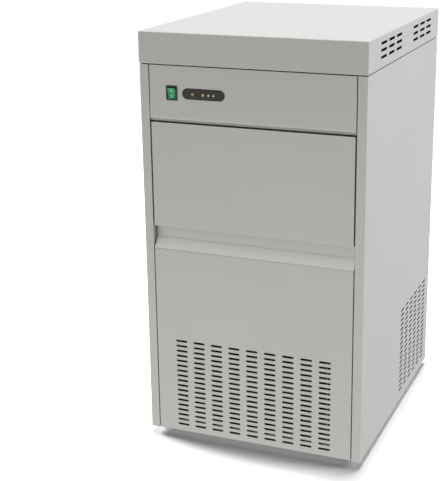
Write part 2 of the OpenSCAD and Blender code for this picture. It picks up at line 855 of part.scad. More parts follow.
module evaporator_barrel() {
    color("silver") place() translate([0, maker_y, barrel_z]) difference() {
        union() {
            rotate_extrude() polygon([
                [barrel_r, 0], [flange_r, 0], [flange_r, flange_t], [barrel_out_r, flange_t],
                [barrel_out_r, barrel_h - flange_t], [flange_r, barrel_h - flange_t], [flange_r, barrel_h],
                [barrel_r, barrel_h]
            ]);
            translate([-barrel_inlet_x, 0, barrel_inlet_z - barrel_z])
                bar_x(hose_tail_r, barrel_inlet_x - barrel_r - 1);
        }
        translate([-barrel_inlet_x - past, 0, barrel_inlet_z - barrel_z])
            bar_x(hose_tail_r - 2, barrel_inlet_x - barrel_r + 3);
    }
}

// Copper tube wound round the barrel, its two tails led out through the jacket
module evaporator_coil() {
    steps = coil_steps;
    turns = coil_turns + 0.5;
    wound = [
        for (i = [0:turns * steps])
            let (a = 180 + 360 * i / steps, z = coil_z0 + (coil_z1 - coil_z0) * i / (turns * steps))
                [coil_r * cos(a), maker_y + coil_r * sin(a), z]
    ];
    color("peru") place() tube(concat(
        [[-coil_tail, tail_y, coil_z0], [-coil_r - 10, tail_y, coil_z0],
        [-coil_r - 4, tail_y - 3, coil_z0]],
        wound,
        [[coil_r + 4, tail_y - 3, coil_z1], [coil_r + 10, tail_y, coil_z1], [coil_tail, tail_y, coil_z1]]
    ), coil_tube_d / 2, 6);
}

module evaporator_jacket() {
    tail_w = coil_tube_d + 6;
    color("dimgray") place() difference() {
        translate([0, maker_y, jacket_z]) rotate_extrude()
            translate([jacket_in_r, 0]) square([jacket_t, head_z - 2 - jacket_z]);
        for (end = [[-jacket_r, coil_z0], [jacket_r, coil_z1]]) {
            translate([end[0], tail_y - 1, end[1]])
                cube([2 * jacket_t + 10, tail_w + 6, tail_w], center = true);
        }
    }
}

// Auger: turned core with shaft ends and a welded helical flight
module auger() {
    core_r = auger_core_d / 2;
    core_z0 = barrel_z + 4;
    core_z1 = head_z - 4;
    flight_z0 = core_z0 + flight_t;
    flight_z1 = core_z1 - flight_t;
    steps = 20;
    turns = (flight_z1 - flight_z0) / auger_pitch;
    count = floor(turns * steps);
    root = core_r + 0.02;
    color("silver") place() translate([0, maker_y, 0]) {
        rotate_extrude() polygon([
            [0, adapter_z + 16.5], [shaft_r, adapter_z + 16.5], [shaft_r, core_z0], [core_r, core_z0],
            [core_r, core_z1], [shaft_r, core_z1], [shaft_r, spout_z + spout_h - 1],
            [0, spout_z + spout_h - 1]
        ]);
        skin([
            for (i = [0:count])
                let (a = 360 * turns * i / count, z = flight_z0 + (flight_z1 - flight_z0) * i / count,
                    way = [cos(a), sin(a), 0], up = [0, 0, 1])
                    [
                        root / cos(180 * turns / count) * way + (z - flight_t / 2) * up,
                        root / cos(180 * turns / count) * way + (z + flight_t / 2) * up,
                        flight_r * way + (z + flight_t / 4) * up,
                        flight_r * way + (z - flight_t / 4) * up
                    ]
        ]);
    }
}

// Slotted head that packs the ice pushed up by the auger, with the upper bearing in its hub
module extruder_head() {
    hub_r = shaft_r + 10;
    color("silver") place() translate([0, maker_y, head_z]) linear_extrude(head_t) difference() {
        circle(flange_r);
        difference() {
            circle(barrel_r - 2);
            circle(hub_r);
            for (i = [0:2]) rotate(i * 60) square([2 * barrel_r, 9], center = true);
        }
        circle(shaft_r + shaft_gap);
    }
}

// Two arms above the head that break the ice off and push it to the outlet
module ice_breaker() {
    color("silver") place() translate([0, maker_y, spout_z + 1.5]) linear_extrude(30) difference() {
        union() {
            circle(shaft_r + 7);
            square([2 * (barrel_r - 3), 7], center = true);
        }
        circle(shaft_r + shaft_gap);
    }
}

module spout_housing() {
    window_x = chute_x - chute_t;
    color("whitesmoke") place() translate([0, maker_y, spout_z]) difference() {
        union() {
            cylinder(r = flange_r, h = spout_h);
            translate([-chute_x - 4, spout_front - maker_y, 0])
                cube([2 * chute_x + 8, flange_r - 10, spout_h - 2]);
        }
        translate([0, 0, -past]) cylinder(r = flange_r - spout_wall, h = spout_h - 4 + past);
        translate([-window_x, -flange_r - 10, 4]) cube([2 * window_x, flange_r, spout_h - 10]);
        translate([0, 0, spout_h - 5]) cylinder(r = shaft_r + shaft_gap, h = 5 + past);
    }
}

// Covered duct from the outlet forward and down through the bin's roof
module ice_chute() {
    z0 = spout_z + 2;
    z1 = spout_z + spout_h - 4;
    foot = liner_top - liner_t;
    slope = 20;
    color("white") place() difference() {
        along_x(2 * chute_x) polygon([
            [spout_front, z0], [spout_front, z1], [chute_y0 + slope, z1], [chute_y0, z1 - slope],
            [chute_y0, foot], [chute_y1, foot], [chute_y1, bin_roof + fit_gap],
            [chute_y1 + 8, bin_roof + fit_gap]
        ]);
        along_x(2 * (chute_x - chute_t)) polygon([
            [spout_front + past, z0 + chute_t], [spout_front + past, z1 - chute_t],
            [chute_y0 + slope + 1, z1 - chute_t], [chute_y0 + chute_t, z1 - slope - 1],
            [chute_y0 + chute_t, foot - past], [chute_y1 - chute_t, foot - past],
            [chute_y1 - chute_t, bin_roof + fit_gap + chute_t], [chute_y1 + 8, bin_roof + fit_gap + chute_t]
        ]);
    }
}

/* Water */

module float_tank() {
    out_r = hose_tail_r;
    color("whitesmoke") place() translate([tank_x, tank_y, tank_z]) difference() {
        union() {
            translate([-tank_w / 2, -tank_w / 2, 0]) cube([tank_w, tank_w, tank_h]);
            translate([0, maker_y - tank_y, -16]) cylinder(r = out_r, h = 17);
        }
        translate([-tank_w / 2 + tank_t, -tank_w / 2 + tank_t, tank_t])
            cube([tank_w - 2 * tank_t, tank_w - 2 * tank_t, tank_h]);
        translate([0, maker_y - tank_y, -16 - past]) cylinder(r = out_r - 2, h = 22);
        translate([0, tank_w / 2 - tank_t - past, float_z - tank_z])
            bar_y(float_r + hole_gap, tank_t + 2 * past);
    }
}

module tank_lid() {
    color("white") place()
        translate([tank_x - tank_w / 2 - 1.5, tank_y - tank_w / 2 - 1.5, tank_z + tank_h])
        cube([tank_w + 3, tank_w + 3, 3]);
}

// Angle on the left side panel that carries the tank
module tank_bracket() {
    fold = [[-inner_x, tank_z - 60], [-inner_x, tank_z], [tank_x + tank_w / 2 - 4, tank_z]];
    color("silver") place() difference() {
        translate([0, tank_y + 36, 0]) rotate([90, 0, 0]) linear_extrude(72) polygon([
            fold[0], fold[1], fold[2], fold[2] - [0, 1.5], fold[1] + [1.5, -1.5], fold[0] + [1.5, 0]
        ]);
        translate([tank_x, maker_y, tank_z - 2 - past])
            cylinder(r = hose_tail_r + fit_gap, h = 2 + 2 * past);
    }
}

module float_valve() {
    wall_y = tank_y + tank_w / 2;
    color("gainsboro") place() translate([tank_x, 0, 0]) {
        difference() {
            union() {
                translate([0, float_pivot_y + 5, float_z]) bar_y(float_r, water_y - float_pivot_y + 2);
                translate([0, wall_y, float_z]) bar_y(float_r + 4, 4);
                translate([0, water_y, float_stub_z]) cylinder(r = hose_tail_r, h = 20);
                for (x = [-6.5, 4]) translate([x, float_pivot_y - 4, float_z - 4]) cube([2.5, 11, 8]);
            }
            translate([0, water_y, float_stub_z - past]) cylinder(r = hose_tail_r - 2, h = 15);
        }
        translate([-5, float_pivot_y, float_z]) bar_x(float_pin_r, 10);
    }
}

// Float on its arm, stored hanging low as in an empty tank
module float_arm() {
    droop = 20;
    reach = 40;
    color("white") place() translate([tank_x, float_pivot_y, float_z]) rotate([droop, 0, 0]) difference() {
        union() {
            translate([-3.7, 0, 0]) bar_x(3.8, 7.4);
            translate([-3, -reach, -1.5]) cube([6, reach, 3]);
            translate([0, -reach, -9]) cylinder(r = 15, h = 18);
        }
        translate([-5, 0, 0]) bar_x(float_pin_r + hole_gap, 10);
    }
}

module feed_hose() {
    color("lightgray") place() tube(rounded([
        [tank_x, maker_y, tank_z - 16], [tank_x, maker_y, barrel_inlet_z],
        [-barrel_inlet_x, maker_y, barrel_inlet_z]
    ], 32), hose_r);
}

module inlet_hose() {
    top = valve_z + 18 + 14;
    rise = float_stub_z - top;
    color("lightgray") place() tube(rounded([
        [valve_x, water_y, top], [valve_x, water_y, top + rise / 4], [tank_x, water_y, top + rise / 2],
        [tank_x, water_y, float_stub_z]
    ], rise / 9), hose_r);
}

// Inlet valve on the rear panel: threaded stub outside, solenoid and hose tail inside
module water_valve() {
    body = 36;
    color("white") place() translate([valve_x, rear_y, valve_z]) difference() {
        union() {
            translate([-body / 2 - 1, -40, -body / 2]) cube([body + 2, 40, body]);
            bar_y(inlet_d / 2 - 0.2, sheet_t);
            translate([0, sheet_t, 0]) bar_y(inlet_d / 2, inlet_reach);
            translate([0, -68, 0]) bar_y(16, 30);
            translate([0, water_y - rear_y, body / 2 - 1]) cylinder(r = hose_tail_r, h = 15);
        }
        translate([0, -20, 0]) bar_y(inlet_d / 2 - 4, 60);
    }
}

/* Cooling */

function arc(cx, cy, r, a0, a1, steps) = [
    for (i = [0:steps]) let (a = a0 + (a1 - a0) * i / steps) [cx + r * cos(a), cy + r * sin(a)]
];

// Hermetic compressor: welded shell on a base plate, with its tube stubs and terminal cover
module compressor() {
    r = compressor_d / 2;
    edge = 35;
    plate_z = compressor_z + plate_t;
    top = plate_z + compressor_h;
    seam = plate_z + compressor_h * 0.55;
    stub_y = -sqrt(r * r - 30 * 30) - 16;
    color("black") place() translate([compressor_x, compressor_y, 0]) {
        translate([-plate_w / 2, -plate_d / 2, compressor_z]) cube([plate_w, plate_d, plate_t]);
        rotate_extrude() polygon(concat(
            [[0, plate_z - 1]], arc(r - edge, plate_z - 1 + edge, edge, -90, 0, 6),
            [[r, seam - 3], [r + 4, seam - 3], [r + 4, seam + 3], [r, seam + 3]],
            arc(r - edge, top - edge, edge, 0, 90, 6), [[0, top]]
        ));
        translate([r - 6, 0, suction_z]) bar_x(suction_r, 21);
        translate([-30, stub_y, discharge_z]) bar_y(line_r, 30);
        translate([-28, r - 8, plate_z + 60]) cube([56, 22, 48]);
    }
}

module compressor_mounts() {
    mount_x = plate_w / 2 - 15;
    mount_y = plate_d / 2 - 14;
    color("dimgray") place() for (x = [-mount_x, mount_x], y = [-mount_y, mount_y]) {
        translate([compressor_x + x, compressor_y + y, base_top]) cylinder(r = 12, h = mount_h);
    }
}

function tube_z(i) = condenser_z + 10 + tube_pitch * (i + 0.5);

// Fins on the tubes between two end plates that stand on the base pan
module condenser_fins() {
    fin_t = 0.5;
    count = floor((condenser_w - 6) / fin_pitch);
    color("silver") place() {
        for (i = [0:count - 1]) {
            translate([(i - (count - 1) / 2) * fin_pitch - fin_t / 2, 0, 0]) fin(fin_t, condenser_z);
        }
        for (side = [0, 1]) mirror([side, 0, 0]) translate([condenser_w / 2, 0, 0]) fin(1.5, base_top);
    }
}

module fin(t, bottom) {
    rotate([90, 0, 90]) linear_extrude(t) difference() {
        translate([condenser_y, bottom]) square([condenser_d, condenser_top - bottom]);
        for (y = [tube_front_y, tube_back_y], i = [0:tube_rows - 1]) translate([y, tube_z(i)])
            circle(tube_r);
    }
}

// One tube led down the rear row and back up the front row
module condenser_coil() {
    span = condenser_w / 2 + 4;
    tail = condenser_w / 2 + 22;
    color("peru") place() {
        for (y = [tube_front_y, tube_back_y], i = [0:tube_rows - 1]) {
            left = i == tube_rows - 1 ? tail : span;
            translate([-left, y, tube_z(i)]) bar_x(tube_r, left + span);
        }
        for (y = [tube_front_y, tube_back_y], i = [0:tube_rows - 2]) {
            side = i % 2 == 0 ? 1 : -1;
            translate([side * span, y, tube_z(i) + tube_pitch / 2]) rotate([90, 0, 0])
                rotate([0, 0, side > 0 ? -90 : 90])
                rotate_extrude(angle = 180) translate([tube_pitch / 2, 0]) circle(tube_r);
        }
        translate([-span, (tube_front_y + tube_back_y) / 2, tube_z(0)]) rotate([0, 0, 90])
            rotate_extrude(angle = 180) translate([(tube_back_y - tube_front_y) / 2, 0]) circle(tube_r);
    }
}

// Plate and collar round the fan, with the strap that carries the fan motor
module fan_shroud() {
    strap_y = motor_y + fan_motor_l;
    z0 = fan_z - condenser_h / 2 + 1;
    z1 = fan_z + condenser_h / 2 - 1;
    strap = [[shroud_y, z0], [strap_y + 2, z0], [strap_y + 2, z1], [shroud_y, z1]];
    color("gray") place() {
        difference() {
            union() {
                translate([-condenser_w / 2 - 1.5, shroud_y, base_top])
                    cube([condenser_w + 3, shroud_t, condenser_top - base_top]);
                translate([0, shroud_y, fan_z]) bar_y(collar_r + 1.5, 26);
            }
            translate([0, shroud_y - past, fan_z]) bar_y(collar_r, 26 + 2 * past);
        }
        along_x(30) polygon(bent(strap, 2));
    }
}

// Hub with its shaft and pitched blades
module fan_blade() {
    hub_r = 28;
    tip_r = fan_d / 2;
    pitch = 28;
    sweep = 50;
    color("dimgray") place() translate([0, fan_y, fan_z]) {
        translate([0, -9, 0]) bar_y(hub_r, 18);
        bar_y(line_r, motor_y - fan_y + 14);
        for (i = [0:fan_blades - 1]) rotate([0, i * 360 / fan_blades, 0]) rotate([0, 0, pitch]) {
            translate([0, -1, 0]) along_y(2) polygon(concat(
                [[-11, hub_r - 6], [11, hub_r - 6]],
                arc(0, 0, tip_r * 0.97, 90 - sweep / 2 + 6, 90 + sweep / 2, 6)
            ));
        }
    }
}

module fan_motor() {
    color("black") place() translate([0, motor_y, fan_z]) difference() {
        union() {
            bar_y(16, 8);
            translate([0, 8, 0]) bar_y(40, fan_motor_l - 8);
        }
        translate([0, -past, 0]) bar_y(line_r + shaft_gap, 16 + past);
    }
}

module filter_drier() {
    color("peru") place() translate([line_x, drier_y0, drier_z]) rotate([-90, 0, 0])
        rotate_extrude() polygon([
        [0, 0], [line_r + 1, 0], [10, 14], [10, drier_l - 14], [line_r + 1, drier_l], [0, drier_l]
    ]);
}

module discharge_line() {
    stub = compressor_y - sqrt(pow(compressor_d / 2, 2) - 30 * 30) - 16;
    x = -(condenser_w / 2 + 40);
    top = tube_z(tube_rows - 1);
    color("peru") place() tube(rounded([
        [compressor_x - 30, stub, discharge_z], [compressor_x - 30, stub - 50, discharge_z],
        [x, stub - 60, top],
        [x, tube_back_y, top], [-(condenser_w / 2 + 22), tube_back_y, top]
    ], 15), line_r);
}

// Tube from the condenser to the drier, and the capillary from the drier to the evaporator
module liquid_line() {
    tail = -(condenser_w / 2 + 22);
    top = tube_z(tube_rows - 1);
    rise_y = rear_y - 22;
    cross_z = barrel_z - 30;
    color("peru") place() {
        tube(rounded([
            [tail, tube_front_y, top], [line_x, tube_front_y, top], [line_x, tube_front_y, drier_z],
            [line_x, drier_y0, drier_z]
        ], 15), line_r);
        tube(rounded([
            [line_x, drier_end_y, drier_z], [line_x, rise_y, drier_z], [line_x, rise_y, cross_z],
            [-coil_tail - 22, rise_y, cross_z], [-coil_tail - 22, tail_y, coil_z0],
            [-coil_tail, tail_y, coil_z0]
        ], 12), line_r - 1.5);
    }
}

module suction_line() {
    x1 = coil_tail + 28;
    x2 = inner_x - 24;
    over = deck_top + motor_d + 28;
    rise_y = rear_y - 22;
    port_x = compressor_x + compressor_d / 2 + 15;
    color("peru") place() tube(rounded([
        [coil_tail, tail_y, coil_z1], [x1, tail_y, coil_z1], [x1, tail_y, over], [x2, tail_y, over],
        [x2, rise_y, over - 10], [x2, rise_y, suction_z], [x2, rise_y - 100, suction_z],
        [port_x + 45, rise_y - 100, suction_z], [port_x + 45, compressor_y, suction_z],
        [port_x, compressor_y, suction_z]
    ], 16), suction_r);
}

/* Controls */

// Closed box of the controls, on the bin's roof behind the control panel
module electrical_box() {
    lid_over = 2;
    lid_h = 10;
    color("lightgray") place() translate([box_x, 45, bin_roof]) {
        cube([box_w, box_d, box_h]);
        translate([-lid_over, -lid_over, box_h - lid_over])
            cube([box_w + 2 * lid_over, box_d + 2 * lid_over, lid_h]);
    }
}

// Snap-in switch housing with its bezel
module switch_body() {
    bezel_t = 2;
    depth = 20;
    color("black") place() translate([-switch_x, 0, switch_z]) difference() {
        union() {
            translate([0, -bezel_t, 0]) along_y(bezel_t) square([bezel_w, bezel_h], center = true);
            translate([0, -bezel_t / 2, 0]) along_y(depth)
                square([cutout_w - 2 * hole_gap, cutout_h - 2 * hole_gap], center = true);
        }
        translate([0, -bezel_t - past, 0]) along_y(13 + bezel_t + past)
            square([window_w, window_h], center = true);
        translate([-cutout_w / 2 + 1, rocker_y, 0]) bar_x(trunnion_r + shaft_gap, cutout_w - 2);
    }
}

// Rocker on its trunnions, the upper end standing out
module rocker() {
    h = rocker_half;
    color("green") place() translate([-switch_x, rocker_y, switch_z]) rotate([rocker_tilt, 0, 0]) {
        along_x(rocker_w) polygon([
            [-rocker_out, h - 0.4], [-rocker_out + 1.8, h * 0.35], [-rocker_out + 1.8, -h * 0.35],
            [-rocker_out, -h + 0.4], [2, -h], [7, -h * 0.4], [7, h * 0.4], [2, h]
        ]);
        translate([-cutout_w / 2 + 1.3, 0, 0]) bar_x(trunnion_r, cutout_w - 2.6);
    }
}

module indicator_places() {
    for (x = led_x) translate([-indicator_x + x, 0, switch_z]) children();
}

module indicator_plate() {
    color("black") place() difference() {
        union() {
            translate([-indicator_x, -1.5, switch_z]) along_y(1.5) slot(indicator_w, indicator_h);
            translate([-indicator_x, -past / 2, switch_z]) along_y(8)
                slot(indicator_w - 8.4, indicator_h - 8.4);
        }
        indicator_places() translate([0, -3, 0]) bar_y(led_r + shaft_gap, 14);
    }
}

module indicator_lenses() {
    color("gold") place() indicator_places() {
        translate([0, -1.8, 0]) bar_y(led_r, 9.3);
        translate([0, -2.4, 0]) rotate([-90, 0, 0]) cylinder(r1 = led_r - 0.9, r2 = led_r, h = 0.6);
    }
}

// The sub-part to draw, or all of them

base_pan();
left_side_panel();
right_side_panel();
rear_panel();
top_cover();
cover_seal();
control_panel();
lower_front_panel();
rubber_feet();
panel_screws();
bin_front_frame();
door_skin();
door_core();
door_inner_panel();
door_gasket();
hinge_pins();
bin_liner();
bin_insulation();
deck();
bin_drain_fitting();
drain_hose();
drain_outlet();
bin_probe_tube();
cable_gland();
gearbox();
drive_motor();
drive_coupling();
barrel_adapter();
evaporator_barrel();
evaporator_coil();
evaporator_jacket();
auger();
extruder_head();
ice_breaker();
spout_housing();
ice_chute();
float_tank();
tank_lid();
tank_bracket();
float_valve();
float_arm();
feed_hose();
inlet_hose();
water_valve();
compressor();
compressor_mounts();
condenser_fins();
condenser_coil();
fan_shroud();
fan_blade();
fan_motor();
filter_drier();
discharge_line();
liquid_line();
suction_line();
electrical_box();
switch_body();
rocker();
indicator_plate();
indicator_lenses();
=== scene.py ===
"""Looks of a flake ice machine: stainless cabinet, bin door, controls and rear connections.

Laid out as an add-on. Sizes and colours are properties, each group of pieces has an operator, and
main() runs them in order. Lengths in the code are millimetres in cabinet coordinates: x from the
middle, y from the front faces, z from the underside of the cabinet.
"""

import math

import bmesh
import bpy
from bpy.props import FloatProperty, FloatVectorProperty, IntProperty, PointerProperty
from mathutils import Matrix, Vector
from mathutils.geometry import delaunay_2d_cdt


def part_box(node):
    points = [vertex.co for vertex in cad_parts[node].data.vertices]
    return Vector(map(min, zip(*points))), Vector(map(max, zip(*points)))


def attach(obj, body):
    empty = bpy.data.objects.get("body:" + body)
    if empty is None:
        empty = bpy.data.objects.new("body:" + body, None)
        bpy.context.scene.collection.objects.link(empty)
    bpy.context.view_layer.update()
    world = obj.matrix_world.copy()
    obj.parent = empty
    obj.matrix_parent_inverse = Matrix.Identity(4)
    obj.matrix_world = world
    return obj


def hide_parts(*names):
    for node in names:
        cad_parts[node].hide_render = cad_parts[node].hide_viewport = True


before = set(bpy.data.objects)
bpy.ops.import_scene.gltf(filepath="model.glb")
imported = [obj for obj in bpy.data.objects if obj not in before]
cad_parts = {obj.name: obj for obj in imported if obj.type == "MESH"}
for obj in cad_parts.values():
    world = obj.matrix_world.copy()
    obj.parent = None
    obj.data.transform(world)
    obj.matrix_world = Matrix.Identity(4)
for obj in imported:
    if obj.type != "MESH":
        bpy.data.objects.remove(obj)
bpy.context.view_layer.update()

bl_info = {
    "name": "Flake ice machine looks",
    "version": (1, 0, 0),
    "blender": (4, 5, 0),
    "location": "3D View > Sidebar > Ice machine",
    "description": "Builds the visible pieces and finishes of a flake ice machine",
    "category": "Object",
}

MM = 0.001
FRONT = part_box("lower_front_panel")[0]
X, Y, Z = Vector((1, 0, 0)), Vector((0, 1, 0)), Vector((0, 0, 1))
SHARP_ANGLE = math.radians(40)
FOLD_ANGLE = math.radians(5)
FLAT_WEIGHT = 90
WARM_WHITE, NEUTRAL_WHITE = "#FFFEF8", "#FFFFFF"
FLOOR_SIZE = 60.0
LONG_SIDE_PX, SENSOR_MM, FAR_CLIP = 481, 36.0, 200.0
# Middle of the water valve's stub over the valve's lowest point
VALVE_RISE = 18.0
# A mix node repeats its socket names for each type, so its sockets are reached by number
MIX_SHARE, MIX_VALUES, MIX_COLOURS, MIX_COLOUR_OUT = 0, (2, 3), (6, 7), 2


def cab(point):
    """A point in cabinet millimetres as a point in the shared frame, in metres."""
    x, y, z = point
    return Vector((x * MM, FRONT.y + y * MM, FRONT.z + z * MM))


def cab_box(node):
    """Lowest and highest corner of a node, in cabinet millimetres."""
    back = Vector((0, FRONT.y, FRONT.z))
    return [(corner - back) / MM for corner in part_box(node)]


def middle_of(low, high, y):
    """The middle of a box as seen from the front, at a depth."""
    return Vector(((low.x + high.x) / 2, y, (low.z + high.z) / 2))


def linear(hex_colour):
    """An sRGB hex colour as linear red, green and blue."""
    parts = [int(hex_colour[i : i + 2], 16) / 255 for i in (1, 3, 5)]
    return tuple(c / 12.92 if c <= 0.04045 else ((c + 0.055) / 1.055) ** 2.4 for c in parts)


def number(name, description, default, **kind):
    return FloatProperty(name=name, description=description, default=default, **kind)


def length(name, description, default_mm):
    return number(name, description, default_mm * MM, unit="LENGTH")


def angle(name, description, degrees):
    return number(name, description, math.radians(degrees), subtype="ANGLE")


def power(name, description, watts):
    return number(name, description, watts, unit="POWER")


def count(name, description, default):
    return IntProperty(name=name, description=description, default=default)


def colour(name, description, hex_colour):
    return FloatVectorProperty(
        name=name, description=description, default=linear(hex_colour), subtype="COLOR",
        size=3, min=0, max=1
    )


class IceSheetSizes(bpy.types.PropertyGroup):
    thickness: length("Sheet", "Thickness of the stainless sheet", 1.0)
    fold: length("Fold radius", "Outer radius of the folds of the panels, posts and door", 1.8)
    cover_fold: length("Cover fold radius", "Outer radius of the folds of the cover", 2.4)
    rim: length("Rim", "Depth of the folded returns behind the front panels", 12.0)
    bevel_drop: length("Bevel height", "Height of the slope under the control panel", 8.0)
    bevel_depth: length("Bevel depth", "Depth of the slope under the control panel", 5.0)
    shelf_rise: length("Shelf rise", "Rise of the sloping shelf of the finger recess", 23.0)
    shelf_depth: length("Shelf depth", "Depth of the slope, up to the recess's back", 16.0)
    door_crown: length("Door crown", "How far the door's top fold stands over its blank", 0.7)
    undercut: length("Door undercut", "Rise of the slope under the door", 18.0)


class IceVentSizes(bpy.types.PropertyGroup):
    slot_length: length("Slot length", "Length of a vent slot", 27.0)
    slot_height: length("Slot height", "Height of a vent slot", 5.0)
    column_pitch: length("Column pitch", "Spacing of the slot columns", 42.0)
    row_pitch: length("Row pitch", "Spacing of the slot rows", 12.0)
    rows: count("Rows", "Slot rows at the front and the sides", 18)
    front_columns: count("Front columns", "Slot columns at the front", 9)
    side_columns: count("Side columns", "Slot columns at each side", 6)
    rear_rows: count("Rear rows", "Slot rows at the rear", 9)
    rear_columns: count("Rear columns", "Slot columns at the rear", 7)
    cover_length: length("Cover slot length", "Length of a slot in the cover", 45.0)
    cover_height: length("Cover slot height", "Height of a slot in the cover", 6.0)
    cover_pitch: length("Cover column pitch", "Spacing of the cover's slots along the side", 61.0)
    cover_rows: length("Cover row pitch", "Spacing of the cover's slots up the side", 14.3)


class IceColours(bpy.types.PropertyGroup):
    steel: colour("Steel", "Satin stainless sheet", "#CDCDCC")
    liner: colour("Liner", "Moulded bin liner and door lining", "#E6E8E7")
    rocker: colour("Rocker", "Moulded rocker of the switch", "#038F58")
    plate: colour("Indicator plate", "Moulded plate round the lamps", "#2A2627")
    lens: colour("Lens", "Cast lamp lenses", "#B9AA7C")
    gasket: colour("Gasket", "Extruded door gasket", "#5A5B5C")


class IceStudio(bpy.types.PropertyGroup):
    eye: FloatVectorProperty(
        name="Camera", description="Place of the camera from the cabinet's front lower edge",
        size=3, subtype="TRANSLATION", default=(0.8620, -2.1510, 1.2228)
    )
    azimuth: angle("Azimuth", "Camera's turn round the machine", 21.862)
    elevation: angle("Elevation", "Camera's height angle", 16.345)
    roll: angle("Roll", "Camera's tilt", -0.488)
    focal_px: number("Focal length", "Focal length in image pixels", 1147.1)
    crop_px: FloatVectorProperty(
        name="Crop", description="How far the picture is cropped off the lens axis, in pixels",
        size=2, default=(-30.0, -30.0)
    )
    front_glow: number("Front glow", "Brightness of the room in front", 0.11)
    floor_glow: number("Floor glow", "Brightness added towards the floor in front", 1.09)
    back_glow: number("Back glow", "Brightness of the room behind", 1.05)
    top_glow: number("Top glow", "Brightness added towards the ceiling", 0.92)
    ceiling_light: number("Ceiling light", "Strength of the light above", 3.4)
    ceiling_spread: angle("Ceiling spread", "How wide the light above is", 6.5)
    front_light: power("Front light", "Power of the softbox in front", 20)
    left_light: power("Left light", "Power of the softbox on the left", 130)
    right_light: power("Right light", "Power of the softbox on the right", 35)


# Materials


def add(tree, kind, settings=None, links=None):
    """Adds a node, sets its fields or sockets by name and links its sockets."""
    node = tree.nodes.new(kind)
    for key, value in (settings or {}).items():
        if isinstance(key, str) and hasattr(node, key):
            setattr(node, key, value)
        else:
            node.inputs[key].default_value = value
    for key, source in (links or {}).items():
        tree.links.new(source, node.inputs[key])
    return node


def blend(tree, share, first, second):
    """A colour that runs from the first linear colour to the second."""
    a, b = MIX_COLOURS
    settings = {"data_type": "RGBA", a: (*first, 1), b: (*second, 1)}
    return add(tree, "ShaderNodeMix", settings, {MIX_SHARE: share}).outputs[MIX_COLOUR_OUT]


def finish(name, base, drift, rough, grain, relief, cloud, cells=False, **shader):
    """A material: a broad cloud drifts the base colour, a fine grain sets roughness and relief.

    base is a hex colour or a linear one and drift the share that it is darkened by at most. rough
    is (lowest, highest). grain is the size of the pattern, one for all ways or one each along x, y
    and z, relief its height and cloud the size of the drift, all in millimetres. cells gives each
    grain its own level. shader holds the constant sockets.
    """
    base = linear(base) if isinstance(base, str) else tuple(base)
    material = bpy.data.materials.new(name)
    material.use_nodes = True
    tree = material.node_tree
    tree.nodes.clear()
    sizes = grain if isinstance(grain, tuple) else (grain,) * 3
    at = add(tree, "ShaderNodeTexCoord").outputs["Object"]
    spread = add(tree, "ShaderNodeMapping", {"Scale": [1 / (cloud * MM)] * 3}, {"Vector": at})
    fine = add(tree, "ShaderNodeMapping", {"Scale": [1 / (g * MM) for g in sizes]}, {"Vector": at})
    drifting = add(
        tree, "ShaderNodeTexNoise", {"Scale": 1.0, "Detail": 2.0}, {"Vector": spread.outputs[0]}
    )
    if cells:
        grains = add(tree, "ShaderNodeTexVoronoi", {"Scale": 1.0}, {"Vector": fine.outputs[0]})
        pattern = grains.outputs["Color"]
    else:
        grains = add(
            tree, "ShaderNodeTexNoise", {"Scale": 1.0, "Detail": 3.0}, {"Vector": fine.outputs[0]}
        )
        pattern = grains.outputs[0]
    tone = blend(tree, drifting.outputs[0], base, [c * (1 - drift) for c in base])
    level = add(
        tree, "ShaderNodeMapRange",
        {"From Min": 0.25, "From Max": 0.75, "To Min": rough[0], "To Max": rough[1]},
        {"Value": pattern}
    )
    raised = add(
        tree, "ShaderNodeBump", {"Strength": 1.0, "Distance": relief * MM}, {"Height": pattern}
    )
    surface = add(
        tree, "ShaderNodeBsdfPrincipled", shader,
        {"Base Color": tone, "Roughness": level.outputs[0], "Normal": raised.outputs[0]}
    )
    add(tree, "ShaderNodeOutputMaterial", None, {"Surface": surface.outputs[0]})
    return material


